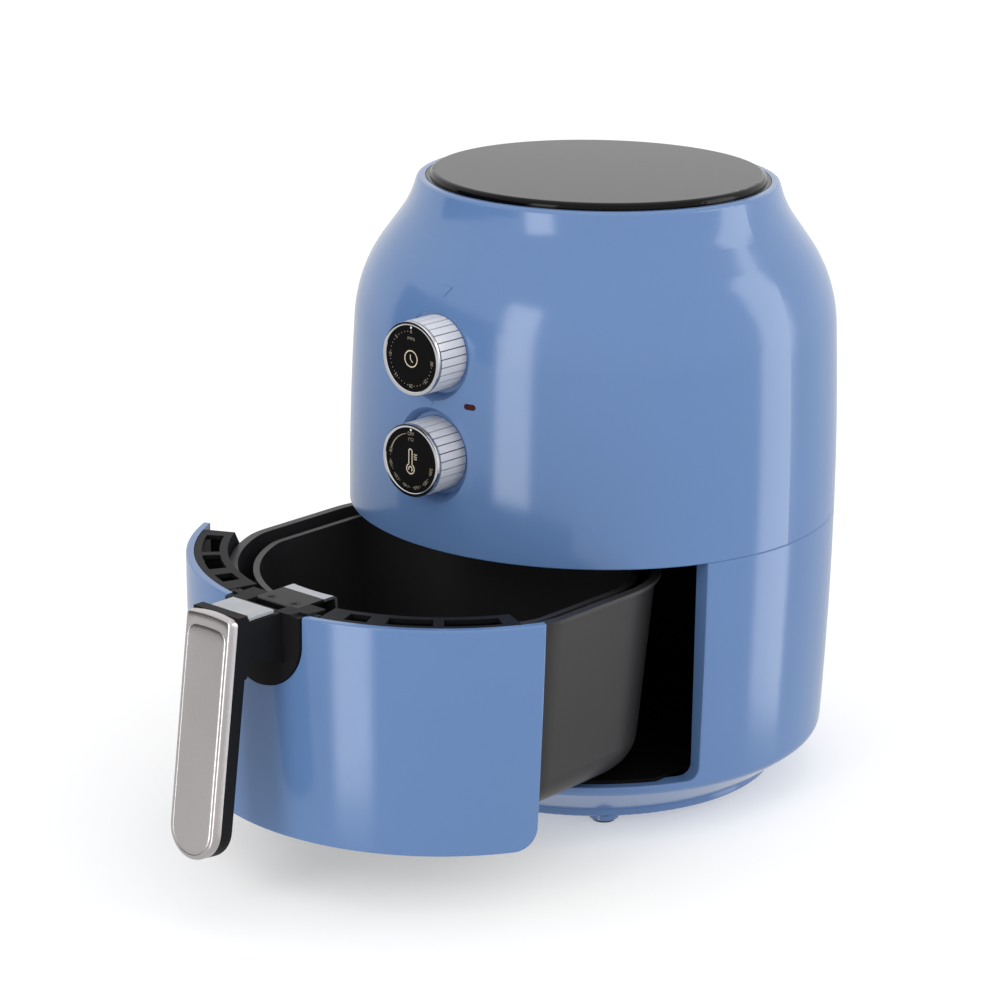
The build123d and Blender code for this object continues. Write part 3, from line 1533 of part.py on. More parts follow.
# Planes and levels of the handle
handle_face = Plane(
    origin=(0, -drawer_pull - handle_top_reach, seam_height + handle_top_rise),
    x_dir=(1, 0, 0),
    z_dir=(0, -cos(radians(handle_lean)), sin(radians(handle_lean))),
)
neck_top = seam_height + neck_top_rise
slot_top = neck_top + guard_thickness + 2 * guard_clearance
hood_top = slot_top + hood_thickness
pocket_depth = button_height + spring_length


def face_reach(height, depth):
    """How far the plane this deep behind the handle's face is from the drawer's axis, at this height."""
    drop = seam_height + handle_top_rise - height
    return handle_top_reach + drop * tan(radians(handle_lean)) - depth / cos(radians(handle_lean))


# Corner where the neck's underside meets the back of the grip, and the end of the arch that rounds it
neck_corner = (
    face_reach(seam_height - neck_grip_drop, plate_thickness + grip_depth),
    seam_height - neck_grip_drop,
)
neck_slope = degrees(atan2(neck_root_drop - neck_grip_drop, neck_corner[0] - notch_foot_back))
arch_run = neck_arch_radius * tan(radians(45 + (neck_slope - handle_lean) / 2))
arch_bottom = neck_corner[1] - arch_run - neck_arch_end


def handle_outline(inset):
    """Front view of the handle, moved in by the inset: a flat top and a round end."""
    half_width = handle_width / 2
    with BuildSketch(mode=Mode.PRIVATE) as outline:
        with Locations((0, -inset)):
            Rectangle(
                handle_width - 2 * inset,
                handle_length - half_width - inset,
                align=(Align.CENTER, Align.MAX),
            )
        fillet(outline.vertices().group_by(Axis.Y)[-1], plate_top_round)
        with Locations((0, half_width - handle_length)):
            Circle(half_width - inset)
    return outline.sketch


def notch_outline(half_width):
    """Front view of the panel's notch and what fills it: straight sides and a round end, cut off at the top."""
    with BuildSketch(mode=Mode.PRIVATE) as outline:
        with Locations((0, seam_height - notch_depth + notch_half_width)):
            Rectangle(
                2 * half_width,
                block_top - seam_height + notch_depth - notch_half_width,
                align=(Align.CENTER, Align.MIN),
            )
            Circle(half_width)
    return outline.sketch


def notch_form(half_width, inset):
    """Solid that fills the notch outline, from the back of the handle's foot to the case's side moved in."""
    with BuildPart(mode=Mode.PRIVATE) as form:
        with BuildSketch(front_plane(-drawer_pull)):
            add(notch_outline(half_width))
        extrude(amount=2 * body_radius)
        with BuildSketch(radial_plane(0, -drawer_pull)):
            with BuildLine():
                outside = lower_side(inset)
                Polyline(
                    outside @ 0,
                    (notch_foot_back, seam_height),
                    (notch_foot_back, (outside @ 1).Y),
                    outside @ 1,
                )
            make_face()
        revolve(axis=drawer_axis, mode=Mode.INTERSECT)
    return form.part


# Handle arm: foot in the panel's notch, neck with the button's pocket, hood and grip in one moulding
with BuildPart() as handle_arm:
    with BuildSketch(handle_face.offset(-plate_thickness)):
        add(handle_outline(0))
    extrude(amount=-grip_depth)
    fillet(
        handle_arm.faces().sort_by(Axis((0, 0, 0), handle_face.z_dir))[0].edges(),
        grip_edge_round,
    )
    with BuildSketch(drawer_side) as neck:
        Polygon(
            (notch_foot_back, block_top),
            (body_radius + neck_front_gap, block_top),
            (body_radius + neck_front_gap, neck_top),
            (face_reach(neck_top, plate_thickness), neck_top),
            (face_reach(arch_bottom, plate_thickness), arch_bottom),
            (face_reach(arch_bottom, plate_thickness + grip_depth), arch_bottom),
            neck_corner,
            (notch_foot_back, seam_height - neck_root_drop),
            align=None,
        )
        fillet(neck.vertices().sort_by_distance(neck_corner)[0], neck_arch_radius)
        Polygon(
            (face_reach(neck_top, plate_thickness) - hood_length, neck_top),
            (face_reach(neck_top, plate_thickness), neck_top),
            (face_reach(hood_top, plate_thickness), hood_top),
            (face_reach(neck_top, plate_thickness) - hood_length, hood_top),
            align=None,
        )
    extrude(amount=handle_width / 2, both=True)
    add(notch_form(notch_half_width - notch_clearance, panel_flush - notch_foot_proud))
    add(notch_form(notch_half_width + notch_flange, panel_flush + panel_thickness + notch_flange_gap))
    with BuildSketch(drawer_side):
        with Locations((block_back, block_top)):
            Rectangle(notch_foot_back - block_back + notch_flange, block_depth, align=(Align.MIN, Align.MAX))
    extrude(amount=block_half_width, both=True)
    with BuildSketch(drawer_side):
        with Locations((block_back, block_top)):
            Rectangle(strap_seat + notch_flange_gap, strap_thickness, align=(Align.MIN, Align.MAX))
    extrude(amount=strap_width / 2 + notch_flange_gap, both=True, mode=Mode.SUBTRACT)
    with BuildSketch(drawer_side):
        with Locations((block_back + strap_seat + trough_wall, block_top)):
            Rectangle(
                body_radius - block_back - strap_seat - 2 * trough_wall,
                2 * trough_depth,
                align=(Align.MIN, Align.CENTER),
            )
    extrude(amount=trough_half_width, both=True, mode=Mode.SUBTRACT)
    with BuildSketch(drawer_side):
        with Locations((face_reach(neck_top, plate_thickness) - 2 * hood_length, neck_top)):
            Rectangle(3 * hood_length, slot_top - neck_top, align=(Align.MIN, Align.MIN))
    extrude(amount=handle_width / 2 - hood_side, both=True, mode=Mode.SUBTRACT)
    with BuildSketch(drawer_side):
        with Locations((button_rear_reach - button_clearance, neck_top)):
            Rectangle(
                button_length + 2 * button_clearance,
                pocket_depth,
                align=(Align.MIN, Align.MAX),
            )
    extrude(amount=button_width / 2 + button_clearance, both=True, mode=Mode.SUBTRACT)
    with Locations((0, -drawer_pull - block_back - strap_seat / 2, block_top)):
        with GridLocations(strap_screw_spacing, strap_screw_spacing, 2, 1):
            Hole(screw_radius + screw_clearance, strap_screw_length + screw_clearance)
    for drop in handle_screw_drops:
        with BuildSketch(handle_face.offset(-plate_thickness)):
            with Locations((0, -drop)):
                Circle(screw_radius + screw_clearance)
        extrude(amount=-2 * grip_depth, mode=Mode.SUBTRACT)
        with BuildSketch(handle_face.offset(-plate_thickness - grip_depth)):
            with Locations((0, -drop)):
                Circle(screw_head_radius + screw_clearance)
        extrude(amount=handle_screw_recess, mode=Mode.SUBTRACT)
handle_arm.part.label = "handle_arm"
export_step(handle_arm.part, "parts/handle_arm.step")

# Metal face of the handle, with a raised field
with BuildPart() as handle_plate:
    with BuildSketch(handle_face.offset(-plate_thickness)):
        add(handle_outline(0))
    extrude(amount=plate_thickness)
    fillet(
        handle_plate.faces().sort_by(Axis((0, 0, 0), handle_face.z_dir))[-1].edges(),
        plate_edge_round,
    )
    with BuildSketch(handle_face):
        add(handle_outline(plate_pad_inset))
    extrude(amount=plate_pad_rise)
    with BuildSketch(handle_face.offset(-plate_thickness)):
        for drop in handle_screw_drops:
            with Locations((0, -drop)):
                Circle(screw_radius + screw_clearance)
    extrude(amount=handle_screw_depth, mode=Mode.SUBTRACT)
handle_plate.part.label = "handle_plate"
export_step(handle_plate.part, "parts/handle_plate.step")

# Screws that hold the metal face on the arm, sunk into the back of the grip
with BuildPart() as handle_screws:
    screw_seat = handle_face.offset(handle_screw_recess - plate_thickness - grip_depth)
    with BuildSketch(screw_seat):
        for drop in handle_screw_drops:
            with Locations((0, -drop)):
                Circle(screw_radius)
    extrude(amount=grip_depth - handle_screw_recess + handle_screw_depth - screw_clearance)
    with BuildSketch(screw_seat):
        for drop in handle_screw_drops:
            with Locations((0, -drop)):
                Circle(screw_head_radius)
    extrude(amount=-screw_head_height)
handle_screws.part.label = "handle_screws"
export_step(handle_screws.part, "parts/handle_screws.step")

# Guard over the release button: a clear slide with a finger dimple
guard_front = face_reach(neck_top, plate_thickness) - hood_length + button_clearance
guard_bottom = neck_top + guard_clearance
with BuildPart() as button_guard:
    with BuildSketch(drawer_side):
        with Locations((guard_front, guard_bottom)):
            Rectangle(guard_length, guard_thickness, align=(Align.MAX, Align.MIN))
    extrude(amount=handle_width / 2 - hood_side - guard_clearance, both=True)
    fillet(button_guard.faces().sort_by(Axis.Z)[-1].edges(), guard_edge_round)
    dimple_sphere = (guard_dimple_radius**2 / guard_dimple_depth + guard_dimple_depth) / 2
    with Locations(
        (
            0,
            -drawer_pull - guard_front + guard_length / 2,
            guard_bottom + guard_thickness - guard_dimple_depth + dimple_sphere,
        )
    ):
        Sphere(dimple_sphere, mode=Mode.SUBTRACT)
button_guard.part.label = "button_guard"
export_step(button_guard.part, "parts/button_guard.step")

# Release button with the stem that guides its spring
button_y = -drawer_pull - button_rear_reach - button_length / 2
with BuildPart() as release_button:
    with Locations((0, button_y, neck_top)):
        Box(
            button_width,
            button_length,
            button_height,
            align=(Align.CENTER, Align.CENTER, Align.MAX),
        )
    fillet(release_button.faces().sort_by(Axis.Z)[-1].edges(), guard_edge_round)
    with Locations((0, button_y, neck_top - button_height)):
        Cylinder(
            button_stem_radius,
            button_stem_length,
            align=(Align.CENTER, Align.CENTER, Align.MAX),
        )
release_button.part.label = "release_button"
export_step(release_button.part, "parts/release_button.step")

# Coil spring under the button
with BuildPart() as button_spring:
    coil_height = spring_length - 2 * spring_wire_radius
    with BuildLine(Plane(origin=(0, button_y, neck_top - pocket_depth + spring_wire_radius))) as coil:
        Helix(coil_height / spring_turns, coil_height, spring_radius)
    with BuildSketch(Plane(origin=coil.line @ 0, z_dir=coil.line % 0)):
        Circle(spring_wire_radius)
    sweep(is_frenet=True)
button_spring.part.label = "button_spring"
export_step(button_spring.part, "parts/button_spring.step")
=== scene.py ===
"""Looks of the hot-air fryer: finishes for its solids, finer pieces where the eye rests, light and camera."""
import logging
import math
from dataclasses import dataclass, field
from enum import Enum
from typing import Optional, Sequence, Union

import bmesh
import bpy
from mathutils import Matrix, Vector


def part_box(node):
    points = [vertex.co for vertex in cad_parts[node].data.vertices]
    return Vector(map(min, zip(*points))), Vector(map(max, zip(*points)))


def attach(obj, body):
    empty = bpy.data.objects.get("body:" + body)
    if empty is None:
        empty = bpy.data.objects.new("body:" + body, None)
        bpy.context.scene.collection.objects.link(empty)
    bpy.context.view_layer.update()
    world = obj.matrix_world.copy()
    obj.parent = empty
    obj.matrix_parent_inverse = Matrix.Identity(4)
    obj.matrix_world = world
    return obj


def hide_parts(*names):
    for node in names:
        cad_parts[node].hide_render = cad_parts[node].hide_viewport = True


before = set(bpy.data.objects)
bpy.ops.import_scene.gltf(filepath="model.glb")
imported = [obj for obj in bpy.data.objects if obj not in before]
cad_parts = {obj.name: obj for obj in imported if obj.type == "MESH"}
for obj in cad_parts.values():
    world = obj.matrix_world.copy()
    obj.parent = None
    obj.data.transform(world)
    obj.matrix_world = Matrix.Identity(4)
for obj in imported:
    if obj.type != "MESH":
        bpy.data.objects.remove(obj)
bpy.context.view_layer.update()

log = logging.getLogger("fryer")

Socket = bpy.types.NodeSocket
Colour = tuple[float, float, float]
Point = tuple[float, float]
Size = Union[float, int, Vector]
Feed = Union[Socket, Sequence[float], float, int]

SMOOTH_ANGLE = math.radians(32.0)
REFRACTION = 1.5
NOISE_DETAIL = 3.0
NOISE_RANGE = (0.3, 0.7)
WHITE = (1.0, 1.0, 1.0, 1.0)


def tint(red: int, green: int, blue: int) -> Colour:
    """Turn a colour as it is seen on a screen into the linear one that shaders use.

    Args:
        red: red part, 0 to 255.
        green: green part, 0 to 255.
        blue: blue part, 0 to 255.

    Returns:
        The three linear parts, 0 to 1.
    """
    parts = [part / 255 for part in (red, green, blue)]
    linear = [p / 12.92 if p <= 0.04045 else ((p + 0.055) / 1.055) ** 2.4 for p in parts]
    return (linear[0], linear[1], linear[2])


class Grain(Enum):
    """How the fine texture of a surface runs."""

    EVEN = (1.0, 1.0, 1.0)
    ACROSS = (0.35, 14.0, 14.0)
    ALONG = (14.0, 0.35, 14.0)


class Wiring:
    """Node tree with short ways to add nodes and to feed their inputs."""

    def __init__(self, tree: bpy.types.NodeTree) -> None:
        """Take over a node tree and empty it."""
        self.tree = tree
        tree.nodes.clear()

    def node(self, kind: str) -> bpy.types.Node:
        """Add a node of this kind."""
        return self.tree.nodes.new(kind)

    def feed(self, source: Feed, end: Socket) -> None:
        """Link an output to an input, or set the input to a value.

        Args:
            source: the output or the value.
            end: the input.
        """
        if isinstance(source, Socket):
            self.tree.links.new(source, end)
        else:
            end.default_value = source

    def maths(self, operation: str, first: Feed, second: Feed = 0.0) -> Socket:
        """Work out one value from two.

        Args:
            operation: what is done with the two values.
            first: the first value.
            second: the second value.

        Returns:
            The result.
        """
        node = self.node("ShaderNodeMath")
        node.operation = operation
        self.feed(first, node.inputs[0])
        self.feed(second, node.inputs[1])
        return node.outputs["Value"]

    def spread(self, value: Socket, before: Point, after: Point) -> Socket:
        """Stretch a value from one range to another.

        Args:
            value: the value.
            before: the ends of the range that it comes from.
            after: the ends of the range that it goes to.

        Returns:
            The stretched value.
        """
        node = self.node("ShaderNodeMapRange")
        for name, limit in zip(("From Min", "From Max", "To Min", "To Max"), (*before, *after)):
            self.feed(limit, node.inputs[name])
        self.feed(value, node.inputs["Value"])
        return node.outputs["Result"]

    def parts(self, vector: Socket) -> bpy.types.bpy_prop_collection:
        """Split a vector.

        Args:
            vector: the vector.

        Returns:
            The sockets of its X, Y and Z.
        """
        node = self.node("ShaderNodeSeparateXYZ")
        self.feed(vector, node.inputs["Vector"])
        return node.outputs


class Board(Wiring):
    """Node tree of one material."""

    def __init__(self, name: str) -> None:
        """Make a material with its output, its shader and the place on the piece.

        Args:
            name: the material's name.
        """
        self.material = bpy.data.materials.new(name)
        self.material.use_nodes = True
        super().__init__(self.material.node_tree)
        self.shader = self.node("ShaderNodeBsdfPrincipled")
        output = self.node("ShaderNodeOutputMaterial")
        self.feed(self.shader.outputs["BSDF"], output.inputs["Surface"])
        self.place = self.node("ShaderNodeTexCoord").outputs["Object"]

    def noise(self, scale: float, grain: Grain = Grain.EVEN) -> Socket:
        """Add a noise pattern.

        Args:
            scale: how many features a metre holds.
            grain: which way the features are drawn out.

        Returns:
            The pattern's value, which lies in the noise range for the most part.
        """
        mapping = self.node("ShaderNodeMapping")
        self.feed(grain.value, mapping.inputs["Scale"])
        self.feed(self.place, mapping.inputs["Vector"])
        pattern = self.node("ShaderNodeTexNoise")
        self.feed(scale, pattern.inputs["Scale"])
        self.feed(NOISE_DETAIL, pattern.inputs["Detail"])
        self.feed(mapping.outputs["Vector"], pattern.inputs["Vector"])
        return pattern.outputs["Fac"]

    def between(self, value: Socket, first: Colour, second: Union[Colour, Socket]) -> Socket:
        """Mix two colours.

        Args:
            value: 0 for the first colour, 1 for the second.
            first: the first colour.
            second: the second colour, or the socket that carries it.

        Returns:
            The mixed colour.
        """
        mix = self.node("ShaderNodeMix")
        mix.data_type = "RGBA"
        self.feed((*first, 1.0), mix.inputs["A"])
        self.feed(second if isinstance(second, Socket) else (*second, 1.0), mix.inputs["B"])
        self.feed(value, mix.inputs["Factor"])
        return mix.outputs["Result"]

    def behind(self, line: float) -> Socket:
        """Give 1 for places whose Y is above the line's and 0 for the others."""
        return self.maths("GREATER_THAN", self.parts(self.place)["Y"], line)

    def relief(self, height: Socket, strength: float, depth: float) -> None:
        """Let a height pattern tilt the surface.

        Args:
            height: the pattern.
            strength: how much of the tilt is seen, 0 to 1.
            depth: how deep the pattern is, in metres.
        """
        bump = self.node("ShaderNodeBump")
        self.feed(strength, bump.inputs["Strength"])
        self.feed(depth, bump.inputs["Distance"])
        self.feed(height, bump.inputs["Height"])
        self.feed(bump.outputs["Normal"], self.shader.inputs["Normal"])


@dataclass(frozen=True)
class Finish:
    """One finish of the fryer: its colour, gloss and fine texture."""

    name: str
    colour: Colour
    roughness: float
    metallic: float = 0.0
    colour_change: float = 0.06
    colour_scale: float = 14.0
    roughness_change: float = 0.03
    grain: Grain = Grain.EVEN
    grain_scale: float = 900.0
    grain_strength: float = 0.04
    grain_depth: float = 0.0002
    clear: float = 0.0
    specular: float = 0.5
    glow: float = 0.0

    def lead_colour(self, board: Board) -> None:
        """Lead the colour, with its slight change from place to place, to the shader."""
        board.feed(self.base(board), board.shader.inputs["Base Color"])

    def base(self, board: Board) -> Socket:
        """Mix the colour, with its slight change from place to place.

        Args:
            board: the material's node tree.

        Returns:
            The mixed colour.
        """
        darker, lighter = (
            tuple(min(1.0, part * (1 + change)) for part in self.colour)
            for change in (-self.colour_change, self.colour_change)
        )
        patches = board.spread(board.noise(self.colour_scale), NOISE_RANGE, (0.0, 1.0))
        return board.between(patches, darker, lighter)

    def make(self) -> bpy.types.Material:
        """Build the finish as a node material.

        Returns:
            The material, made once for the whole scene.
        """
        name = self.name + "_finish"
        known = bpy.data.materials.get(name)
        if known:
            return known
        board = Board(name)
        settings = {
            "Metallic": self.metallic, "IOR": REFRACTION, "Specular IOR Level": self.specular,
            "Transmission Weight": self.clear, "Emission Color": WHITE, "Emission Strength": self.glow,
        }
        for setting, value in settings.items():
            board.feed(value, board.shader.inputs[setting])
        self.lead_colour(board)
        fine = board.noise(self.grain_scale, self.grain)
        ends = (self.roughness - self.roughness_change, self.roughness + self.roughness_change)
        board.feed(board.spread(fine, NOISE_RANGE, ends), board.shader.inputs["Roughness"])
        if self.grain_strength:
            board.relief(fine, self.grain_strength, self.grain_depth)
        return board.material


@dataclass(frozen=True)
class DippedFinish(Finish):
    """Metal finish with a dark coating on everything in front of one line."""

    coat_line: float = 0.0
    coating: Colour = (0.0, 0.0, 0.0)

    def lead_colour(self, board: Board) -> None:
        """Lead the bare colour and the coating to the shader, and let only the bare part be metal.

        Args:
            board: the material's node tree.
        """
        bare = board.behind(self.coat_line)
        board.feed(board.between(bare, self.coating, self.base(board)), board.shader.inputs["Base Color"])
        board.feed(bare, board.shader.inputs["Metallic"])


BLUE = Finish(
    "blue_gloss", tint(90, 121, 167), 0.15, colour_change=0.015, roughness_change=0.01, grain_scale=90.0,
    grain_strength=0.0,
)
BLACK_GLOSS = Finish(
    "black_gloss", tint(10, 10, 12), 0.1, grain_scale=260.0, grain_strength=0.01, specular=0.12,
)
BLACK_MATTE = Finish(
    "black_moulded", tint(20, 20, 22), 0.5, grain_scale=2600.0, grain_strength=0.18, specular=0.1,
)
PAN_COAT = Finish(
    "pan_coating", tint(44, 42, 43), 0.42, colour_change=0.1, grain_scale=1500.0, grain_strength=0.12,
    specular=0.3,
)
BAY_BLACK = Finish("bay_enamel", tint(9, 9, 11), 0.6, grain_scale=1200.0, grain_strength=0.1, specular=0.1)
SATIN_SILVER = Finish("satin_silver", tint(196, 191, 191), 0.3, 1.0, grain_scale=1500.0, grain_strength=0.06)
KNOB_SILVER = Finish("knob_silver", tint(226, 226, 230), 0.3, 0.2, grain=Grain.ALONG, grain_scale=240.0)
# Dark grey of the knob's core: painted shade in the grooves between the silver ribs.
KNOB_GROOVE_SHADE = Finish("knob_groove_shade", tint(64, 64, 70), 0.4, 0.9)
POLISHED = Finish("polished_ring", tint(206, 206, 209), 0.09, 1.0, colour_change=0.02, grain_strength=0.01)
STRAP_STEEL = DippedFinish(
    "strap_steel", tint(176, 178, 184), 0.3, 1.0, grain=Grain.ACROSS, grain_scale=220.0, specular=0.1,
    coat_line=-0.2245, coating=tint(20, 20, 22),
)
SHEET_STEEL = Finish("sheet_steel", tint(176, 178, 182), 0.3, 1.0, grain=Grain.ACROSS, grain_scale=220.0)
SCREW_STEEL = Finish("screw_steel", tint(150, 152, 156), 0.34, 1.0, grain_strength=0.06)
SCREW_BLACK = Finish("screw_black", tint(24, 24, 26), 0.45, grain_strength=0.06, specular=0.15)
# Near-black of the screws' crosses: painted shade for the inside of their cross recesses.
SCREW_RECESS_SHADE = Finish("screw_recess_shade", tint(14, 14, 15), 0.6, specular=0.05)
HEATER_METAL = Finish("heater_metal", tint(96, 90, 84), 0.45, 0.9, colour_change=0.18, colour_scale=60.0)
DIAL_BLACK = Finish("dial_black", tint(8, 8, 10), 0.2, grain_scale=400.0, grain_strength=0.01, specular=0.06)
DIAL_PRINT = Finish("dial_print", tint(140, 131, 112), 0.55, grain_scale=2000.0)
DIAL_ICON = Finish("dial_icon", tint(206, 192, 168), 0.5, grain_scale=2000.0)
MARK_WHITE = Finish("mark_white", tint(230, 230, 228), 0.45, grain_scale=2000.0)
INNER_GREY = Finish("inner_moulding", tint(92, 92, 94), 0.55, grain_scale=1800.0, grain_strength=0.12)
RUBBER = Finish("soft_rubber", tint(28, 28, 29), 0.75, grain_scale=2200.0, grain_strength=0.2)
CLEAR_GREY = Finish(
    "clear_grey", tint(196, 199, 204), 0.2, grain_scale=500.0, grain_strength=0.02, clear=0.45,
)
LAMP_RED = Finish("lamp_red", tint(58, 8, 12), 0.2, grain_scale=500.0, grain_strength=0.02, specular=0.2)
MOTOR_GREY = Finish("motor_lamination", tint(92, 94, 98), 0.42, 0.8, grain=Grain.ACROSS, grain_scale=160.0)
BLADE_ALUMINIUM = Finish("blade_aluminium", tint(190, 192, 196), 0.34, 1.0, grain_scale=700.0)
FLOOR_PAPER = Finish(
    "floor_paper", tint(210, 210, 210), 0.9, colour_change=0.004, grain_strength=0.0, specular=0.0, glow=0.38,
)
SCREEN_CLOTH = Finish("screen_cloth", tint(48, 47, 48), 0.9, grain_strength=0.0, specular=0.0)

NODE_FINISHES: dict[str, Finish] = {
    "lower_shell": BLUE, "upper_shell": BLUE, "front_panel": BLUE, "feet": BLUE, "base_plate": BLUE,
    "top_cover": BLACK_GLOSS, "collar": BLACK_MATTE, "handle_arm": BLACK_MATTE,
    "release_button": BLACK_MATTE, "air_outlet": BLACK_MATTE, "timer_knob": KNOB_SILVER,
    "thermostat_knob": KNOB_SILVER, "timer_dial": DIAL_BLACK, "thermostat_dial": DIAL_BLACK,
    "drawer_switch": INNER_GREY, "timer_unit": INNER_GREY, "thermostat_unit": INNER_GREY,
    "lamp_holder": INNER_GREY, "thermal_cutout": INNER_GREY, "exhaust_duct": INNER_GREY,
    "cooling_fan": INNER_GREY, "cord_gland": RUBBER, "foot_pads": RUBBER, "pan": PAN_COAT,
    "basket": PAN_COAT, "basket_floor": PAN_COAT, "bay_liner": BAY_BLACK, "handle_plate": SATIN_SILVER,
    "button_guard": CLEAR_GREY, "lamp_lens": LAMP_RED, "motor": MOTOR_GREY, "hot_chamber": SHEET_STEEL,
    "heater_guard": SHEET_STEEL, "heating_element": HEATER_METAL, "heater_hangers": SHEET_STEEL,
    "fan_shaft": SCREW_STEEL, "hot_fan": BLADE_ALUMINIUM, "fan_nut": SCREW_STEEL,
    "motor_bridge": SHEET_STEEL, "control_bracket": SHEET_STEEL, "timer_spindle": SCREW_STEEL,
    "thermostat_spindle": SCREW_STEEL, "basket_strap": STRAP_STEEL, "strap_rivets": SCREW_STEEL,
    "strap_screws": SCREW_BLACK, "handle_screws": SCREW_STEEL, "panel_screws": SCREW_STEEL,
    "base_screws": SCREW_STEEL, "case_screws": SCREW_STEEL, "button_spring": SCREW_STEEL,
}


def shown(name: str, mesh: bpy.types.Mesh) -> bpy.types.Object:
    """Put a mesh in the scene.

    Args:
        name: the new piece's name.
        mesh: its mesh, which takes the same name.

    Returns:
        The new piece.
    """
    mesh.name = name
    piece = bpy.data.objects.new(name, mesh)
    bpy.context.scene.collection.objects.link(piece)
    return piece


def soften(mesh: bpy.types.Mesh) -> None:
    """Shade a mesh smooth, apart from its sharp edges."""
    mesh.polygons.foreach_set("use_smooth", [True] * len(mesh.polygons))
    mesh.set_sharp_from_angle(angle=SMOOTH_ANGLE)


def woven(
    name: str, rings: Sequence[Sequence[Vector]], finish: Finish, closed: bool, caps: bool
) -> bpy.types.Object:
    """Make a piece from rings of points that are joined one to the next.

    Args:
        name: the new piece's name.
        rings: the rings, each with as many points as the others.
        finish: what it is made of.
        closed: whether the last ring joins the first.
        caps: whether the first and last ring are filled.

    Returns:
        The new piece.
    """
    work = bmesh.new()
    rows = [[work.verts.new(point) for point in ring] for ring in rings]
    count = len(rows[0])
    pairs = list(zip(rows, rows[1:])) + ([(rows[-1], rows[0])] if closed else [])
    for near, far in pairs:
        for k in range(count):
            after = (k + 1) % count
            work.faces.new((near[k], near[after], far[after], far[k]))
    if caps:
        work.faces.new(rows[0])
        work.faces.new(rows[-1])
    bmesh.ops.recalc_face_normals(work, faces=work.faces)
    mesh = bpy.data.meshes.new(name)
    work.to_mesh(mesh)
    work.free()
    mesh.materials.append(finish.make())
    soften(mesh)
    return shown(name, mesh)


def settle(piece: bpy.types.Object, body: str, slot: str, *replaced: str) -> None:
    """Let a finished piece ride on its body.

    Args:
        piece: the piece.
        body: the body it moves with.
        slot: not used.
        replaced: the solids it stands for.
    """
    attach(piece, body)
    if replaced:
        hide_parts(*replaced)
    log.info("%s: %d faces, rides on %s", piece.name, len(piece.data.polygons), body)


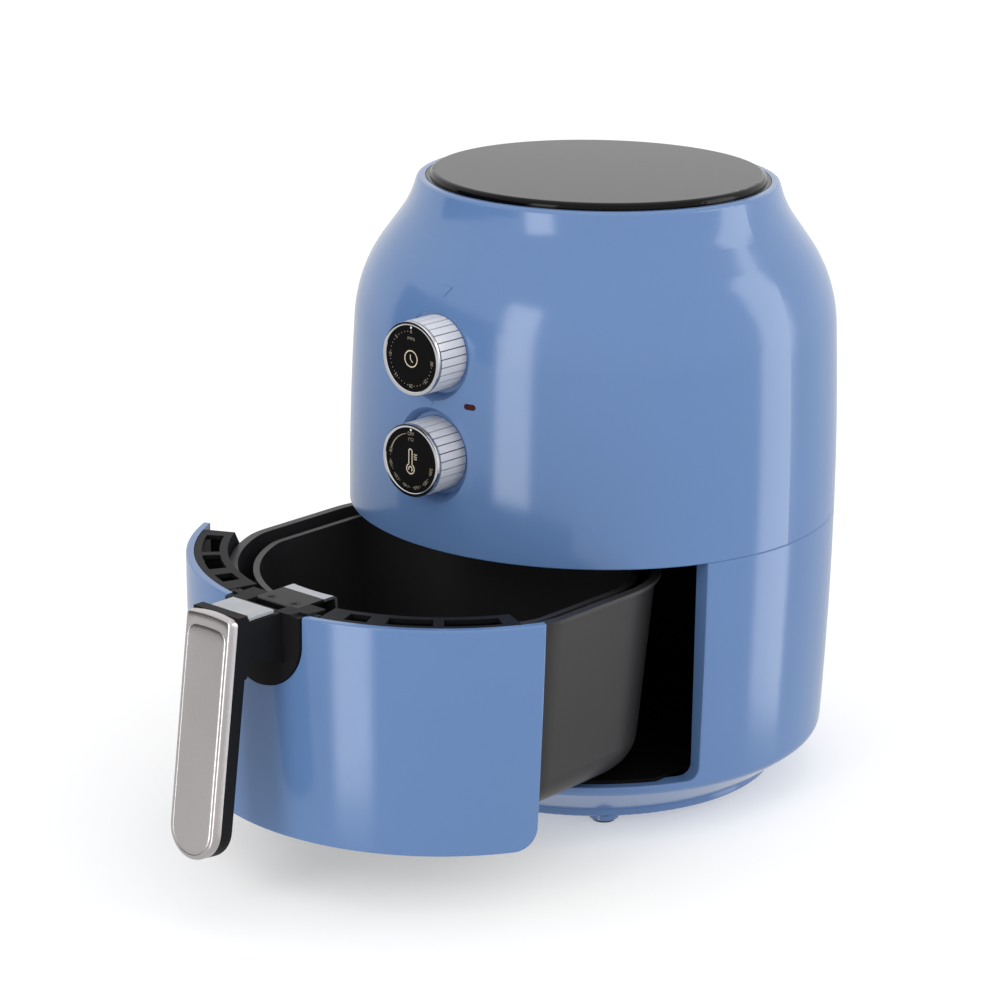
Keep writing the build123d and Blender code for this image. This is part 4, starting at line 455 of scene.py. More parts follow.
class Tree(Wiring):
    """Geometry node tree with named inputs, which grows a plain mesh."""

    def __init__(self, name: str) -> None:
        """Make an empty tree with its way in and out.

        Args:
            name: the tree's name.
        """
        super().__init__(bpy.data.node_groups.new(name, "GeometryNodeTree"))
        self.tree.interface.new_socket("Geometry", in_out="OUTPUT", socket_type="NodeSocketGeometry")
        self.start = self.node("NodeGroupInput")
        self.end = self.node("NodeGroupOutput")
        self.material = self.size("Material", "NodeSocketMaterial")
        self.centre = self.size("Centre", "NodeSocketVector")

    def size(self, name: str, kind: str = "NodeSocketFloat") -> Socket:
        """Add a named input to the tree and give the socket that carries it."""
        self.tree.interface.new_socket(name, in_out="INPUT", socket_type=kind)
        return self.start.outputs[name]

    def vector(self, x: Feed, y: Feed, z: Feed) -> Socket:
        """Join three values.

        Args:
            x: the first value.
            y: the second value.
            z: the third value.

        Returns:
            The vector.
        """
        node = self.node("ShaderNodeCombineXYZ")
        for value, end in zip((x, y, z), node.inputs):
            self.feed(value, end)
        return node.outputs["Vector"]

    def turned(self, x: Feed, y: Feed, z: Feed) -> Socket:
        """Make a rotation.

        Args:
            x: the angle about X, in radians.
            y: the angle about Y.
            z: the angle about Z.

        Returns:
            The rotation.
        """
        node = self.node("FunctionNodeEulerToRotation")
        self.feed(self.vector(x, y, z), node.inputs["Euler"])
        return node.outputs["Rotation"]

    def index(self) -> Socket:
        """Give the number of each point, from 0."""
        return self.node("GeometryNodeInputIndex").outputs["Index"]

    def points(self, count: Feed, place: Optional[Socket] = None) -> Socket:
        """Set out points.

        Args:
            count: how many there are.
            place: where each is, or nothing if all lie at the tree's own origin.

        Returns:
            The points.
        """
        node = self.node("GeometryNodePoints")
        self.feed(count, node.inputs["Count"])
        if place is not None:
            self.feed(place, node.inputs["Position"])
        return node.outputs["Points"]

    def copies(self, points: Socket, shape: Socket, rotation: Optional[Socket] = None) -> Socket:
        """Set a copy of a shape on each point.

        Args:
            points: the points.
            shape: the shape.
            rotation: how each copy is turned, or nothing if all stand as the shape does.

        Returns:
            The copies.
        """
        node = self.node("GeometryNodeInstanceOnPoints")
        self.feed(points, node.inputs["Points"])
        self.feed(shape, node.inputs["Instance"])
        if rotation is not None:
            self.feed(rotation, node.inputs["Rotation"])
        return node.outputs["Instances"]

    def close(self, geometry: Socket) -> None:
        """Move the geometry to the centre, make its copies real, give it the material and lead it out.

        Args:
            geometry: the finished geometry.
        """
        moved = self.node("GeometryNodeTransform")
        real = self.node("GeometryNodeRealizeInstances")
        coat = self.node("GeometryNodeSetMaterial")
        self.feed(geometry, moved.inputs["Geometry"])
        self.feed(self.centre, moved.inputs["Translation"])
        self.feed(moved.outputs["Geometry"], real.inputs["Geometry"])
        self.feed(real.outputs["Geometry"], coat.inputs["Geometry"])
        self.feed(self.material, coat.inputs["Material"])
        self.feed(coat.outputs["Geometry"], self.end.inputs["Geometry"])

    def grow(self, name: str, finish: Finish, centre: Vector, **sizes: Size) -> bpy.types.Object:
        """Run the tree and keep its result as a plain mesh.

        Args:
            name: the new piece's name.
            finish: what it is made of.
            centre: where the tree's own origin goes.
            sizes: the tree's other inputs, in small letters.

        Returns:
            The new piece.
        """
        values = {key.capitalize(): value for key, value in sizes.items()}
        values |= {"Material": finish.make(), "Centre": centre}
        carrier = bpy.data.objects.new(name + "_carrier", bpy.data.meshes.new(name + "_carrier"))
        bpy.context.scene.collection.objects.link(carrier)
        modifier = carrier.modifiers.new("tree", "NODES")
        modifier.node_group = self.tree
        for item in self.tree.interface.items_tree:
            if item.in_out == "INPUT":
                modifier[item.identifier] = values[item.name]
        scene_state = bpy.context.evaluated_depsgraph_get()
        mesh = bpy.data.meshes.new_from_object(carrier.evaluated_get(scene_state))
        bpy.data.objects.remove(carrier)
        return shown(name, mesh)


def rib_tree() -> Tree:
    """Make the tree that sets raised ribs round a knob whose axis runs along Y.

    Returns:
        The tree.
    """
    tree = Tree("knob_ribs")
    count = tree.size("Count", "NodeSocketInt")
    radius, height, width, length = (tree.size(name) for name in ("Radius", "Height", "Width", "Length"))
    strip = tree.node("GeometryNodeMeshGrid")
    columns, rows = 7, 2
    for value, name in ((width, "Size X"), (length, "Size Y"), (columns, "Vertices X"), (rows, "Vertices Y")):
        tree.feed(value, strip.inputs[name])
    spot = tree.parts(tree.node("GeometryNodeInputPosition").outputs["Position"])
    turn = tree.maths("DIVIDE", spot["X"], radius)
    aside = tree.maths("MULTIPLY", tree.maths("SINE", turn), radius)
    upwards = tree.maths("MULTIPLY", tree.maths("COSINE", turn), radius)
    bent = tree.node("GeometryNodeSetPosition")
    tree.feed(strip.outputs["Mesh"], bent.inputs["Geometry"])
    tree.feed(tree.vector(aside, spot["Y"], upwards), bent.inputs["Position"])
    raised = tree.node("GeometryNodeExtrudeMesh")
    tree.feed(bent.outputs["Geometry"], raised.inputs["Mesh"])
    tree.feed(height, raised.inputs["Offset Scale"])
    tree.feed(False, raised.inputs["Individual"])
    step = tree.maths("DIVIDE", math.tau, count)
    rotation = tree.turned(0.0, tree.maths("MULTIPLY", tree.index(), step), 0.0)
    tree.close(tree.copies(tree.points(count), raised.outputs["Mesh"], rotation))
    return tree


def dot_tree() -> Tree:
    """Make the tree that prints dots on a ring that faces the front, apart from every so many.

    Returns:
        The tree.
    """
    tree = Tree("dial_dots")
    count, skip = tree.size("Count", "NodeSocketInt"), tree.size("Skip", "NodeSocketInt")
    ring, dot, first, step = (tree.size(name) for name in ("Ring", "Dot", "First", "Step"))
    angle = tree.maths("ADD", tree.maths("MULTIPLY", tree.index(), step), first)
    aside = tree.maths("MULTIPLY", tree.maths("SINE", angle), tree.maths("MULTIPLY", ring, -1.0))
    upwards = tree.maths("MULTIPLY", tree.maths("COSINE", angle), ring)
    numbered = tree.maths("COMPARE", tree.maths("MODULO", tree.index(), skip), 0.0)
    thinned = tree.node("GeometryNodeDeleteGeometry")
    tree.feed(tree.points(count, tree.vector(aside, 0.0, upwards)), thinned.inputs["Geometry"])
    tree.feed(numbered, thinned.inputs["Selection"])
    disc = tree.node("GeometryNodeMeshCircle")
    disc.fill_type = "NGON"
    disc_corners = 10
    tree.feed(disc_corners, disc.inputs["Vertices"])
    tree.feed(dot, disc.inputs["Radius"])
    rotation = tree.turned(math.pi / 2, 0.0, 0.0)
    tree.close(tree.copies(thinned.outputs["Geometry"], disc.outputs["Mesh"], rotation))
    return tree


def fill_tree() -> Tree:
    """Make the tree that sets an upright plate on each side of the drawer's middle, along its radius.

    Returns:
        The tree.
    """
    tree = Tree("collar_ribs")
    angle, radius = tree.size("Angle"), tree.size("Radius")
    length, width, height = (tree.size(name) for name in ("Length", "Width", "Height"))
    side = tree.maths("SUBTRACT", 1.0, tree.maths("MULTIPLY", tree.index(), 2.0))
    turn = tree.maths("MULTIPLY", angle, side)
    aside = tree.maths("MULTIPLY", tree.maths("SINE", turn), radius)
    ahead = tree.maths("MULTIPLY", tree.maths("COSINE", turn), tree.maths("MULTIPLY", radius, -1.0))
    plate = tree.node("GeometryNodeMeshCube")
    tree.feed(tree.vector(width, length, height), plate.inputs["Size"])
    pair = tree.points(2, tree.vector(aside, ahead, 0.0))
    tree.close(tree.copies(pair, plate.outputs["Mesh"], tree.turned(0.0, 0.0, turn)))
    return tree


def cross_tree() -> Tree:
    """Make the tree that sets dark crosses, painted shade for cross recesses, in a row of screw heads.

    Returns:
        The tree.
    """
    tree = Tree("screw_crosses")
    count, reach = tree.size("Count", "NodeSocketInt"), tree.size("Reach", "NodeSocketVector")
    length, width, depth = (tree.size(name) for name in ("Length", "Width", "Depth"))
    row = tree.node("GeometryNodeMeshLine")
    row.mode = "END_POINTS"
    tree.feed(count, row.inputs["Count"])
    tree.feed(reach, row.inputs["Offset"])
    bars = tree.node("GeometryNodeJoinGeometry")
    for long_way, short_way in ((length, width), (width, length)):
        bar = tree.node("GeometryNodeMeshCube")
        tree.feed(tree.vector(long_way, short_way, depth), bar.inputs["Size"])
        tree.feed(bar.outputs["Mesh"], bars.inputs["Geometry"])
    tree.close(tree.copies(row.outputs["Mesh"], bars.outputs["Geometry"]))
    return tree


class Icon(Enum):
    """Picture in the middle of a dial."""

    CLOCK = "clock"
    THERMOMETER = "thermometer"


@dataclass
class Print:
    """Flat print that lies on a dial face which looks to the front."""

    name: str
    centre: Vector
    finish: Finish
    arc_steps: int = 40
    mesh: bmesh.types.BMesh = field(default_factory=bmesh.new)

    def face(self, points: Sequence[Point]) -> None:
        """Fill an outline that is given to the right of and above the dial's centre."""
        self.mesh.faces.new([self.mesh.verts.new(self.centre + Vector((x, 0.0, z))) for x, z in points])

    def stroke(self, points: Sequence[Point], widths: Point) -> None:
        """Draw a line through points.

        Args:
            points: the points, to the right of and above the dial's centre.
            widths: the line's width at its first and at its last point.
        """
        spots = [Vector(point) for point in points]
        last = len(spots) - 1
        edges: list[tuple[Vector, Vector]] = []
        for k, spot in enumerate(spots):
            along = (spots[min(k + 1, last)] - spots[max(k - 1, 0)]).normalized()
            half = (widths[0] + (widths[1] - widths[0]) * k / last) / 2
            across = Vector((-along.y, along.x)) * half
            edges.append((spot + across, spot - across))
        for (left, right), (next_left, next_right) in zip(edges, edges[1:]):
            self.face([tuple(left), tuple(right), tuple(next_right), tuple(next_left)])

    def arc(self, middle: Point, radius: float, ends: Point, widths: Point) -> None:
        """Draw a round line.

        Args:
            middle: the arc's centre.
            radius: its radius.
            ends: where it starts and ends, in degrees to the left of straight up.
            widths: the line's width at both ends.
        """
        start, end = ends
        points: list[Point] = []
        for k in range(self.arc_steps + 1):
            turn = math.radians(start + (end - start) * k / self.arc_steps)
            points.append((middle[0] - radius * math.sin(turn), middle[1] + radius * math.cos(turn)))
        self.stroke(points, widths)

    def clock(self) -> None:
        """Draw a round clock with two hands."""
        rim, line, hand = 0.0042, 0.0006, 0.0005
        self.arc((0.0, 0.0), rim, (0.0, 360.0), (line, line))
        self.stroke([(-0.0004, 0.0022), (-0.0004, -0.0002), (0.0013, -0.0018)], (hand, hand))

    def thermometer(self) -> None:
        """Draw a thermometer with a ringed bulb and three waves beside its stem."""
        line, ripple = (0.0006, 0.0006), (0.00045, 0.00045)
        bulb, bulb_radius, core_radius = (-0.0002, -0.0044), 0.0026, 0.0012
        stem_low, stem_high, stem_half = -0.0021, 0.005, 0.0011
        wave_left, wave_top, wave_drops = 0.0022, 0.0036, (0.0, 0.0012, 0.0024)
        wave_points, wave_step, wave_swing, wave_turn = 6, 0.0004, 0.00025, 1.6
        self.arc(bulb, bulb_radius, (25.0, 335.0), line)
        self.arc(bulb, core_radius, (-150.0, 120.0), line)
        for x in (bulb[0] - stem_half, bulb[0] + stem_half):
            self.stroke([(x, stem_low), (x, stem_high)], line)
        self.arc((bulb[0], stem_high), stem_half, (-90.0, 90.0), line)
        for drop in wave_drops:
            heights = [wave_top - drop + wave_swing * math.sin(k * wave_turn) for k in range(wave_points)]
            self.stroke([(wave_left + k * wave_step, height) for k, height in enumerate(heights)], ripple)

    def text(self, body: str, size: float, radius: float, angle: float) -> None:
        """Print a number or word with its top outwards.

        Args:
            body: what it says.
            size: the height of its letters.
            radius: how far it is from the dial's centre.
            angle: where it is, in degrees to the left of straight up.
        """
        curve = bpy.data.curves.new("dial_text", "FONT")
        curve.body = body
        curve.size = size
        curve.align_x = "CENTER"
        curve.align_y = "CENTER"
        holder = bpy.data.objects.new("dial_text", curve)
        bpy.context.scene.collection.objects.link(holder)
        flat = bpy.data.meshes.new_from_object(holder.evaluated_get(bpy.context.evaluated_depsgraph_get()))
        turn = Matrix.Rotation(math.radians(-angle), 4, "Y")
        upright = Matrix.Rotation(math.pi / 2, 4, "X")
        flat.transform(Matrix.Translation(self.centre) @ turn @ Matrix.Translation((0, 0, radius)) @ upright)
        self.mesh.from_mesh(flat)
        bpy.data.objects.remove(holder)
        bpy.data.meshes.remove(flat)

    def lay(self, body: str, slot: str) -> None:
        """Finish the print as a piece.

        Args:
            body: the body it moves with.
            slot: the record's material slot, handed on to settle.
        """
        bmesh.ops.recalc_face_normals(self.mesh, faces=self.mesh.faces)
        turned_in = [face for face in self.mesh.faces if face.normal.y > 0]
        bmesh.ops.reverse_faces(self.mesh, faces=turned_in)
        flat = bpy.data.meshes.new(self.name)
        self.mesh.to_mesh(flat)
        self.mesh.free()
        flat.materials.append(self.finish.make())
        settle(shown(self.name, flat), body, slot)


@dataclass
class Knob:
    """Ribbed silver knob with a polished front ring and a printed dial."""

    name: str
    icon: Icon
    labels: Sequence[tuple[str, float]]
    captions: Sequence[tuple[str, float]]
    dot_count: int
    dot_first: float
    dot_step: float
    dot_skip: int
    dot_radius: float = 0.00026
    rib_count: int = 28
    rib_share: float = 0.88
    rib_height: float = 0.0008
    rib_front: float = 0.0026
    ring_width: float = 0.0019
    ring_bevel: float = 0.0006
    print_gap: float = 0.00004
    dial_ring: float = 0.0141
    letter: float = 0.0026
    caption_share: float = 0.82
    wedge_ends: Point = (13.0, 72.0)
    wedge_widths: Point = (0.00025, 0.0009)
    mark_inset: float = 0.0009
    mark_radius: float = 0.0003
    spin_steps: int = 112
    radius: float = field(default=0.0, init=False)
    length: float = field(default=0.0, init=False)
    dial_radius: float = field(default=0.0, init=False)
    front: Vector = field(default_factory=Vector, init=False)

    def build(self, ribs: Tree, dots: Tree) -> None:
        """Make the knob's core, ribs and ring, and print its dial.

        Args:
            ribs: the tree that makes the ribs.
            dots: the tree that makes the dots.
        """
        node, body = self.name + "_knob", self.name + "_control"
        low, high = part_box(node)
        dial_low, dial_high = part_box(self.name + "_dial")
        self.radius = (high.x - low.x) / 2
        self.length = high.y - low.y
        self.dial_radius = (dial_high.x - dial_low.x) / 2
        self.front = Vector((0.0, low.y, (low.z + high.z) / 2))
        # The core shows between the ribs, and its dark grey is painted shade in those grooves.
        core = self.spun(node + "_core", self.core_outline(dial_high.y - low.y), KNOB_GROOVE_SHADE)
        settle(core, body, "knob_silver", node)
        core_radius = self.radius - self.rib_height
        rib_length = self.length - self.rib_front
        sleeve = ribs.grow(
            node + "_ribs", KNOB_SILVER, self.front + Vector((0.0, self.rib_front + rib_length / 2, 0.0)),
            count=self.rib_count, radius=core_radius, height=self.rib_height, length=rib_length,
            width=math.tau * core_radius / self.rib_count * self.rib_share,
        )
        settle(sleeve, body, "knob_silver")
        settle(self.spun(node + "_ring", self.ring_outline(), POLISHED), body, "knob_silver")
        self.print_dial(Vector((0.0, dial_low.y - self.print_gap, self.front.z)), dots, body)

    def spun(self, name: str, outline: Sequence[Point], finish: Finish) -> bpy.types.Object:
        """Turn a closed outline round the knob's axis.

        Args:
            name: the new piece's name.
            outline: its points, each a radius and a depth behind the knob's front.
            finish: what it is made of.

        Returns:
            The new piece.
        """
        rings = []
        for k in range(self.spin_steps):
            turn = math.tau * k / self.spin_steps
            aside, upwards = math.sin(turn), math.cos(turn)
            rings.append([self.front + Vector((r * aside, depth, r * upwards)) for r, depth in outline])
        return woven(name, rings, finish, closed=True, caps=False)

    def core_outline(self, dial_depth: float) -> list[Point]:
        """Outline of the dark core that the ribs stand on, hollow inside like a moulding; its dark grey is
        painted shade for the grooves between the ribs.
        """
        outer, inner = self.radius - self.rib_height, self.dial_radius / 2
        return [(inner, dial_depth), (outer, dial_depth), (outer, self.length), (inner, self.length)]

    def ring_outline(self) -> list[Point]:
        """Outline of the polished ring round the dial, with bevels at its front edges.

        Returns:
            Its points, each a radius and a depth behind the knob's front.
        """
        bevel, inner, outer = self.ring_bevel, self.dial_radius, self.radius
        back = self.ring_width
        return [
            (inner, back), (inner, bevel / 2), (inner + bevel / 2, 0.0), (outer - bevel, 0.0),
            (outer - bevel / 4, bevel / 4), (outer, bevel), (outer, back),
        ]

    def print_dial(self, face: Vector, dots: Tree, body: str) -> None:
        """Print the numbers, dots, picture and mark on the dial's face.

        Args:
            face: the middle of the dial's face.
            dots: the tree that makes the dots.
            body: the body that the dial moves with.
        """
        figures = Print(self.name + "_figures", face, DIAL_PRINT)
        for label, angle in self.labels:
            figures.text(label, self.letter, self.dial_ring, angle)
        for label, radius in self.captions:
            figures.text(label, self.letter * self.caption_share, radius, 0.0)
        if self.icon is Icon.THERMOMETER:
            figures.arc((0.0, 0.0), self.dial_ring, self.wedge_ends, self.wedge_widths)
        figures.lay(body, "dial_black")
        ring = dots.grow(
            self.name + "_dots", DIAL_PRINT, face, count=self.dot_count, skip=self.dot_skip,
            ring=self.dial_ring, dot=self.dot_radius, first=math.radians(self.dot_first),
            step=math.radians(self.dot_step),
        )
        settle(ring, body, "dial_black")
        picture = Print(self.name + "_picture", face, DIAL_ICON)
        if self.icon is Icon.CLOCK:
            picture.clock()
        else:
            picture.thermometer()
        picture.lay(body, "dial_black")
        mark = Print(self.name + "_mark", face, MARK_WHITE)
        width = 2 * self.mark_radius
        mark.arc((0.0, self.dial_radius - self.mark_inset), self.mark_radius, (0.0, 360.0), (width, width))
        mark.lay(body, "dial_black")


@dataclass
class HandlePlate:
    """Silver face of the handle, with a bevelled border and a crowned field."""

    top: Vector = field(default_factory=lambda: Vector((0.0, -0.289, 0.157)))
    drop: float = 0.123
    lead: float = 0.016
    width: float = 0.031
    arch: float = 0.0012
    corner: float = 0.003
    field_corner: float = 0.008
    least_corner: float = 0.0005
    corner_share: float = 0.96
    end_steps: int = 32
    edge_steps: int = 12

    @property
    def lean(self) -> float:
        """How far the plate leans from upright, in radians."""
        return math.atan2(self.lead, self.drop)

    @property
    def length(self) -> float:
        """How long the plate is along its face."""
        return math.hypot(self.lead, self.drop)

    def spot(self, x: float, down: float, height: float) -> Vector:
        """Give the place of a point on the plate.

        Args:
            x: how far it is to the right of the middle.
            down: how far it is from the plate's top.
            height: how far it stands out of the plate's face.

        Returns:
            The point in the shared frame.
        """
        fall = Vector((0.0, -math.sin(self.lean), -math.cos(self.lean)))
        out = Vector((0.0, -math.cos(self.lean), math.sin(self.lean)))
        return self.top + Vector((x, 0.0, 0.0)) + fall * down + out * height

    def ring(self, inset: float, head: float, corner: float, height: float) -> list[Vector]:
        """Outline of the plate, moved in.

        Args:
            inset: how far the sides and the round end move in.
            head: how far the top edge moves down.
            corner: the radius of the top corners.
            height: how far the outline stands out of the plate's face.

        Returns:
            The outline's points, always as many.
        """
        half = self.width / 2 - inset
        end = self.length - self.width / 2
        corner = min(corner, half * self.corner_share)
        shares = [k / self.edge_steps for k in range(1, self.edge_steps)]
        flat: list[Point] = []
        for k in range(self.end_steps + 1):
            turn = math.pi * k / self.end_steps
            flat.append((half * math.cos(turn), end + half * math.sin(turn)))
        flat += [(-half, end + (head + corner - end) * share) for share in shares]
        flat += self.bend_round(-(half - corner), head + corner, corner, 180.0)
        flat += [((half - corner) * (2 * share - 1), head) for share in shares]
        flat += self.bend_round(half - corner, head + corner, corner, 270.0)
        flat += [(half, head + corner + (end - head - corner) * share) for share in shares]
        bow = self.arch / (self.width / 2) ** 2
        reach = end - head
        fades = [max(0.0, 1.0 - (down - head) / reach) ** 3 for _, down in flat]
        return [self.spot(x, down + bow * x * x * fade, height) for (x, down), fade in zip(flat, fades)]

    def bend_round(self, x: float, down: float, radius: float, start: float) -> list[Point]:
        """Outline of a quarter circle at a top corner.

        Args:
            x: how far its centre is to the right of the middle.
            down: how far its centre is from the plate's top.
            radius: its radius.
            start: where it starts, in degrees.

        Returns:
            Its points.
        """
        turns = [math.radians(start + 90.0 * k / self.edge_steps) for k in range(self.edge_steps + 1)]
        return [(x + radius * math.cos(turn), down + radius * math.sin(turn)) for turn in turns]

    def build(self) -> None:
        """Weave the plate from its outlines, from the back edge to the middle of the field."""
        mm = 0.001
        border = (
            (0.0, 0.0, -5.0), (0.0, 0.0, -1.6), (0.25, 0.25, -0.8), (0.9, 0.9, -0.2), (1.5, 1.5, 0.0),
        )
        crowned = (
            (2.5, 6.6, 0.0), (2.75, 6.9, -0.12), (3.0, 7.2, 0.0), (3.5, 7.8, 0.14), (4.4, 8.8, 0.23),
            (7.0, 11.5, 0.31), (10.5, 15.0, 0.35), (15.3, 20.0, 0.35),
        )
        rings = []
        for steps, widest in ((border, self.corner), (crowned, self.field_corner)):
            for inset, head, height in steps:
                corner = max(widest - inset * mm, self.least_corner)
                rings.append(self.ring(inset * mm, head * mm, corner, height * mm))
        plate = woven("handle_plate_face", rings, SATIN_SILVER, closed=False, caps=True)
        settle(plate, "drawer", "silver", "handle_plate")


@dataclass
class CollarLining:
    """Ribs and sloped end walls inside the collar, which close what is seen through its windows."""

    pull: float = 0.122
    inner: float = 0.1113
    half_angle: float = math.radians(64.0)
    skirt: float = 0.0012
    plate: float = 0.0022
    depth: float = 0.0168
    run: float = 0.0094
    fall: float = 0.01
    wall: float = 0.002
    set_in: float = 0.0001
    rib_width: float = 0.0016
    rib_angles: tuple[float, ...] = (17.0, 27.2, 41.2, 57.2)

    def build(self, tree: Tree) -> None:
        """Make the ribs and the two ends.

        Args:
            tree: the tree that makes a pair of ribs.
        """
        low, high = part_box("collar")
        outer = -self.pull - low.y - self.skirt
        inner = self.inner + self.skirt
        height = self.depth - self.plate
        centre = Vector((0.0, -self.pull, high.z - self.plate - height / 2))
        for number, angle in enumerate(self.rib_angles, 1):
            pair = tree.grow(
                f"collar_ribs_{number}", BLACK_MATTE, centre, angle=math.radians(angle),
                radius=(inner + outer) / 2, length=outer - inner, width=self.rib_width, height=height,
            )
            settle(pair, "drawer", "black_matte")
        middle = Vector((0.0, -self.pull, high.z))
        for side, name in ((-1, "collar_end_left"), (1, "collar_end_right")):
            out = Vector((side * math.sin(self.half_angle), -math.cos(self.half_angle), 0.0))
            along = Vector((side * math.cos(self.half_angle), math.sin(self.half_angle), 0.0))
            outline = [along * s + Vector((0.0, 0.0, z)) for s, z in self.section()]
            rings = [[middle + out * radius + point for point in outline] for radius in (inner, outer)]
            settle(woven(name, rings, BLACK_MATTE, closed=False, caps=True), "drawer", "black_matte")

    def section(self) -> list[Point]:
        """Outline of an end wall.

        Returns:
            Its points, each how far past the collar's end and how high above the collar's top it is.
        """
        slant = math.hypot(self.run, self.fall)
        sides: list[list[Point]] = []
        for sink in (self.set_in, self.set_in + self.wall):
            drop, back = sink * self.run / slant, sink * self.fall / slant
            sides.append([(-self.run - back, -drop), (-sink, -self.fall - drop), (-sink, -self.depth)])
        return sides[0] + sides[1][::-1]


@dataclass
class ScrewCrosses:
    """Dark crosses on the heads of the screws that can be seen, a little proud of them: painted shade that
    stands for their cross recesses.
    """

    length: float = 0.0034
    width: float = 0.0007
    proud: float = 0.00004
    depth: float = 0.0008

    def build(self, tree: Tree) -> None:
        """Set the crosses in the strap's screws and the base's screws.

        Args:
            tree: the tree that makes the crosses.
        """
        sink = self.depth / 2 - self.proud
        strap_low, strap_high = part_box("strap_screws")
        head = strap_high.y - strap_low.y
        first = Vector((strap_low.x + head / 2, (strap_low.y + strap_high.y) / 2, strap_high.z - sink))
        across = Vector((strap_high.x - strap_low.x - head, 0.0, 0.0))
        self.pair(tree, "strap_crosses", first, across, "drawer")
        base_low, base_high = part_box("base_screws")
        ring = (base_high.x - base_low.x) / 2 - head / 2
        under = Vector((0.0, 0.0, base_low.z + sink))
        for name, way in (("base_crosses_x", Vector((ring, 0, 0))), ("base_crosses_y", Vector((0, ring, 0)))):
            self.pair(tree, name, under - way, 2 * way, "housing")

    def pair(self, tree: Tree, name: str, first: Vector, reach: Vector, body: str) -> None:
        """Set two crosses.

        Args:
            tree: the tree that makes the crosses.
            name: the new piece's name.
            first: where the first cross is.
            reach: how far the second is from the first.
            body: the body they move with.
        """
        piece = tree.grow(
            name, SCREW_RECESS_SHADE, first, count=2, reach=reach, length=self.length, width=self.width,
            depth=self.depth,
        )
        settle(piece, body, "steel")


@dataclass(frozen=True)
class Softbox:
    """Soft lamp that faces the fryer: its place and size in metres, and its power in watts."""

    name: str
    place: tuple[float, float, float]
    size: Point
    power: float

    def hang(self, look_at: Vector) -> None:
        """Hang the lamp.

        Args:
            look_at: the point it faces.
        """
        lamp = bpy.data.lights.new(self.name, "AREA")
        lamp.shape = "RECTANGLE"
        lamp.size, lamp.size_y = self.size
        lamp.energy = self.power
        holder = bpy.data.objects.new(self.name, lamp)
        holder.location = self.place
        holder.rotation_euler = (look_at - Vector(self.place)).to_track_quat("-Z", "Y").to_euler()
        bpy.context.scene.collection.objects.link(holder)


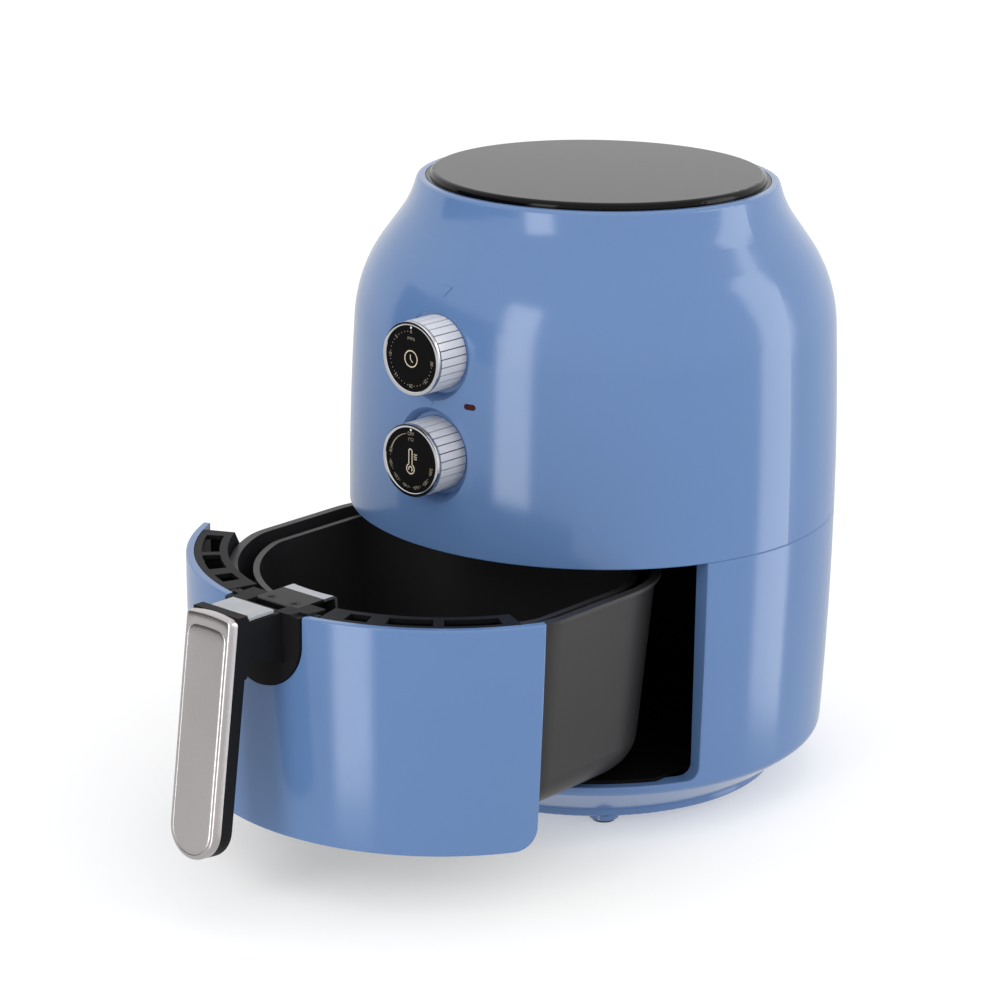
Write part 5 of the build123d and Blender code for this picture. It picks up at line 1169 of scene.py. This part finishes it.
@dataclass
class Studio:
    """Floor, light and camera, set as the photograph was taken."""

    aim: Vector = field(default_factory=lambda: Vector((0.0, 0.0, 0.152)))
    distance: float = 1.674
    azimuth: float = 39.2
    elevation: float = 17.06
    roll: float = 1.17
    lens: float = 109.55
    sensor: float = 36.0
    shift: Point = (-0.0921, -0.0064)
    sight: float = 50.0
    ambient: float = 1.0
    ground_shine: float = 0.72
    horizon_blur: float = 0.3
    floor_reach: float = 30.0
    screen_ends: tuple[Point, Point] = ((-2.4, -0.9), (-0.1, -2.6))
    screen_height: float = 1.1
    lit_point: Vector = field(default_factory=lambda: Vector((0.0, -0.06, 0.17)))
    softboxes: tuple[Softbox, ...] = (
        Softbox("key_softbox", (0.1, -2.0, 0.35), (0.6, 2.5), 20.0),
        Softbox("right_softbox", (1.45, 1.3, 0.4), (0.8, 2.5), 18.0),
        Softbox("top_softbox", (0.0, 0.2, 2.2), (1.6, 1.6), 3.0),
    )

    def sheet(self, name: str, corners: Sequence[Vector], finish: Finish) -> bpy.types.Object:
        """Stand or lay a flat sheet in the studio.

        Args:
            name: the sheet's name.
            corners: its four corners, in turn.
            finish: what it is made of.

        Returns:
            The sheet.
        """
        mesh = bpy.data.meshes.new(name)
        mesh.from_pydata(corners, [], [(0, 1, 2, 3)])
        mesh.materials.append(finish.make())
        sheet = shown(name, mesh)
        return sheet

    def floor(self) -> None:
        """Lay a white floor that glows a little, and keep it out of mirrors so that tall lamps show whole."""
        signs = ((-1, -1), (1, -1), (1, 1), (-1, 1))
        corners = [Vector((x, y, 0.0)) * self.floor_reach for x, y in signs]
        self.sheet("studio_floor", corners, FLOOR_PAPER).visible_glossy = False

    def screen(self) -> None:
        """Stand a dark screen at the left front, which metal faces mirror as a dark upper half."""
        left, right = (Vector((x, y, 0.0)) for x, y in self.screen_ends)
        rise = Vector((0.0, 0.0, self.screen_height))
        cloth = self.sheet("studio_screen", [left, right, right + rise, left + rise], SCREEN_CLOTH)
        cloth.visible_camera = False

    def world(self) -> None:
        """Surround the scene with an even light, which mirrors as white above and greyer below."""
        world = bpy.data.worlds.new("studio_world")
        bpy.context.scene.world = world
        world.use_nodes = True
        sky = Wiring(world.node_tree)
        path = sky.node("ShaderNodeLightPath").outputs
        seen = sky.maths("ADD", path["Is Camera Ray"], path["Is Glossy Ray"])
        direct = sky.maths("ADD", seen, path["Is Transmission Ray"])
        direct.node.use_clamp = True
        heading = sky.parts(sky.node("ShaderNodeTexCoord").outputs["Generated"])
        shine = sky.spread(heading["Z"], (-self.horizon_blur, 0.0), (self.ground_shine, 1.0))
        choose = sky.node("ShaderNodeMixShader")
        sky.feed(direct, choose.inputs["Fac"])
        for strength, end in ((self.ambient, choose.inputs[1]), (shine, choose.inputs[2])):
            light = sky.node("ShaderNodeBackground")
            sky.feed(WHITE, light.inputs["Color"])
            sky.feed(strength, light.inputs["Strength"])
            sky.feed(light.outputs["Background"], end)
        output = sky.node("ShaderNodeOutputWorld")
        sky.feed(choose.outputs["Shader"], output.inputs["Surface"])

    def camera(self) -> None:
        """Set the camera where the photograph was taken from."""
        view = bpy.data.cameras.new("photo_camera")
        view.sensor_width = self.sensor
        view.lens = self.lens
        view.shift_x, view.shift_y = self.shift
        view.clip_end = self.sight
        holder = bpy.data.objects.new("photo_camera", view)
        turn, rise = math.radians(self.azimuth), math.radians(self.elevation)
        away = Vector((math.cos(rise) * math.sin(turn), -math.cos(rise) * math.cos(turn), math.sin(rise)))
        facing = (-away).to_track_quat("-Z", "Y").to_matrix().to_4x4()
        tilt = Matrix.Rotation(math.radians(self.roll), 4, "Z")
        holder.matrix_world = Matrix.Translation(self.aim + away * self.distance) @ facing @ tilt
        bpy.context.scene.collection.objects.link(holder)
        bpy.context.scene.camera = holder

    def build(self) -> None:
        """Make the whole studio."""
        self.floor()
        self.screen()
        self.world()
        for softbox in self.softboxes:
            softbox.hang(self.lit_point)
        self.camera()
        bpy.context.scene.view_settings.view_transform = "Standard"


def dress_nodes() -> None:
    """Give every solid its finish."""
    for name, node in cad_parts.items():
        finish = NODE_FINISHES[name]
        node.data.materials.clear()
        node.data.materials.append(finish.make())
        log.info("%s: solid with the finish %s", name, finish.name)


def main() -> None:
    """Dress the fryer, then set up the studio."""
    logging.basicConfig(level=logging.INFO, format="%(message)s")
    dress_nodes()
    ribs, dots = rib_tree(), dot_tree()
    timer = Knob(
        "timer", Icon.CLOCK, labels=[(str(5 * k), 45.0 * k) for k in range(7)],
        captions=[("(MIN)", 0.0105)], dot_count=31, dot_first=0.0, dot_step=9.0, dot_skip=5,
    )
    thermostat = Knob(
        "thermostat", Icon.THERMOMETER,
        labels=[("OFF", 0.0)] + [(str(80 + 20 * k), 77.5 + 30.0 * k) for k in range(7)],
        captions=[("(°C)", 0.0112)], dot_count=19, dot_first=77.5, dot_step=10.0, dot_skip=3,
    )
    for knob in (timer, thermostat):
        knob.build(ribs, dots)
    HandlePlate().build()
    CollarLining().build(fill_tree())
    ScrewCrosses().build(cross_tree())
    Studio().build()


if __name__ == "__main__":
    main()
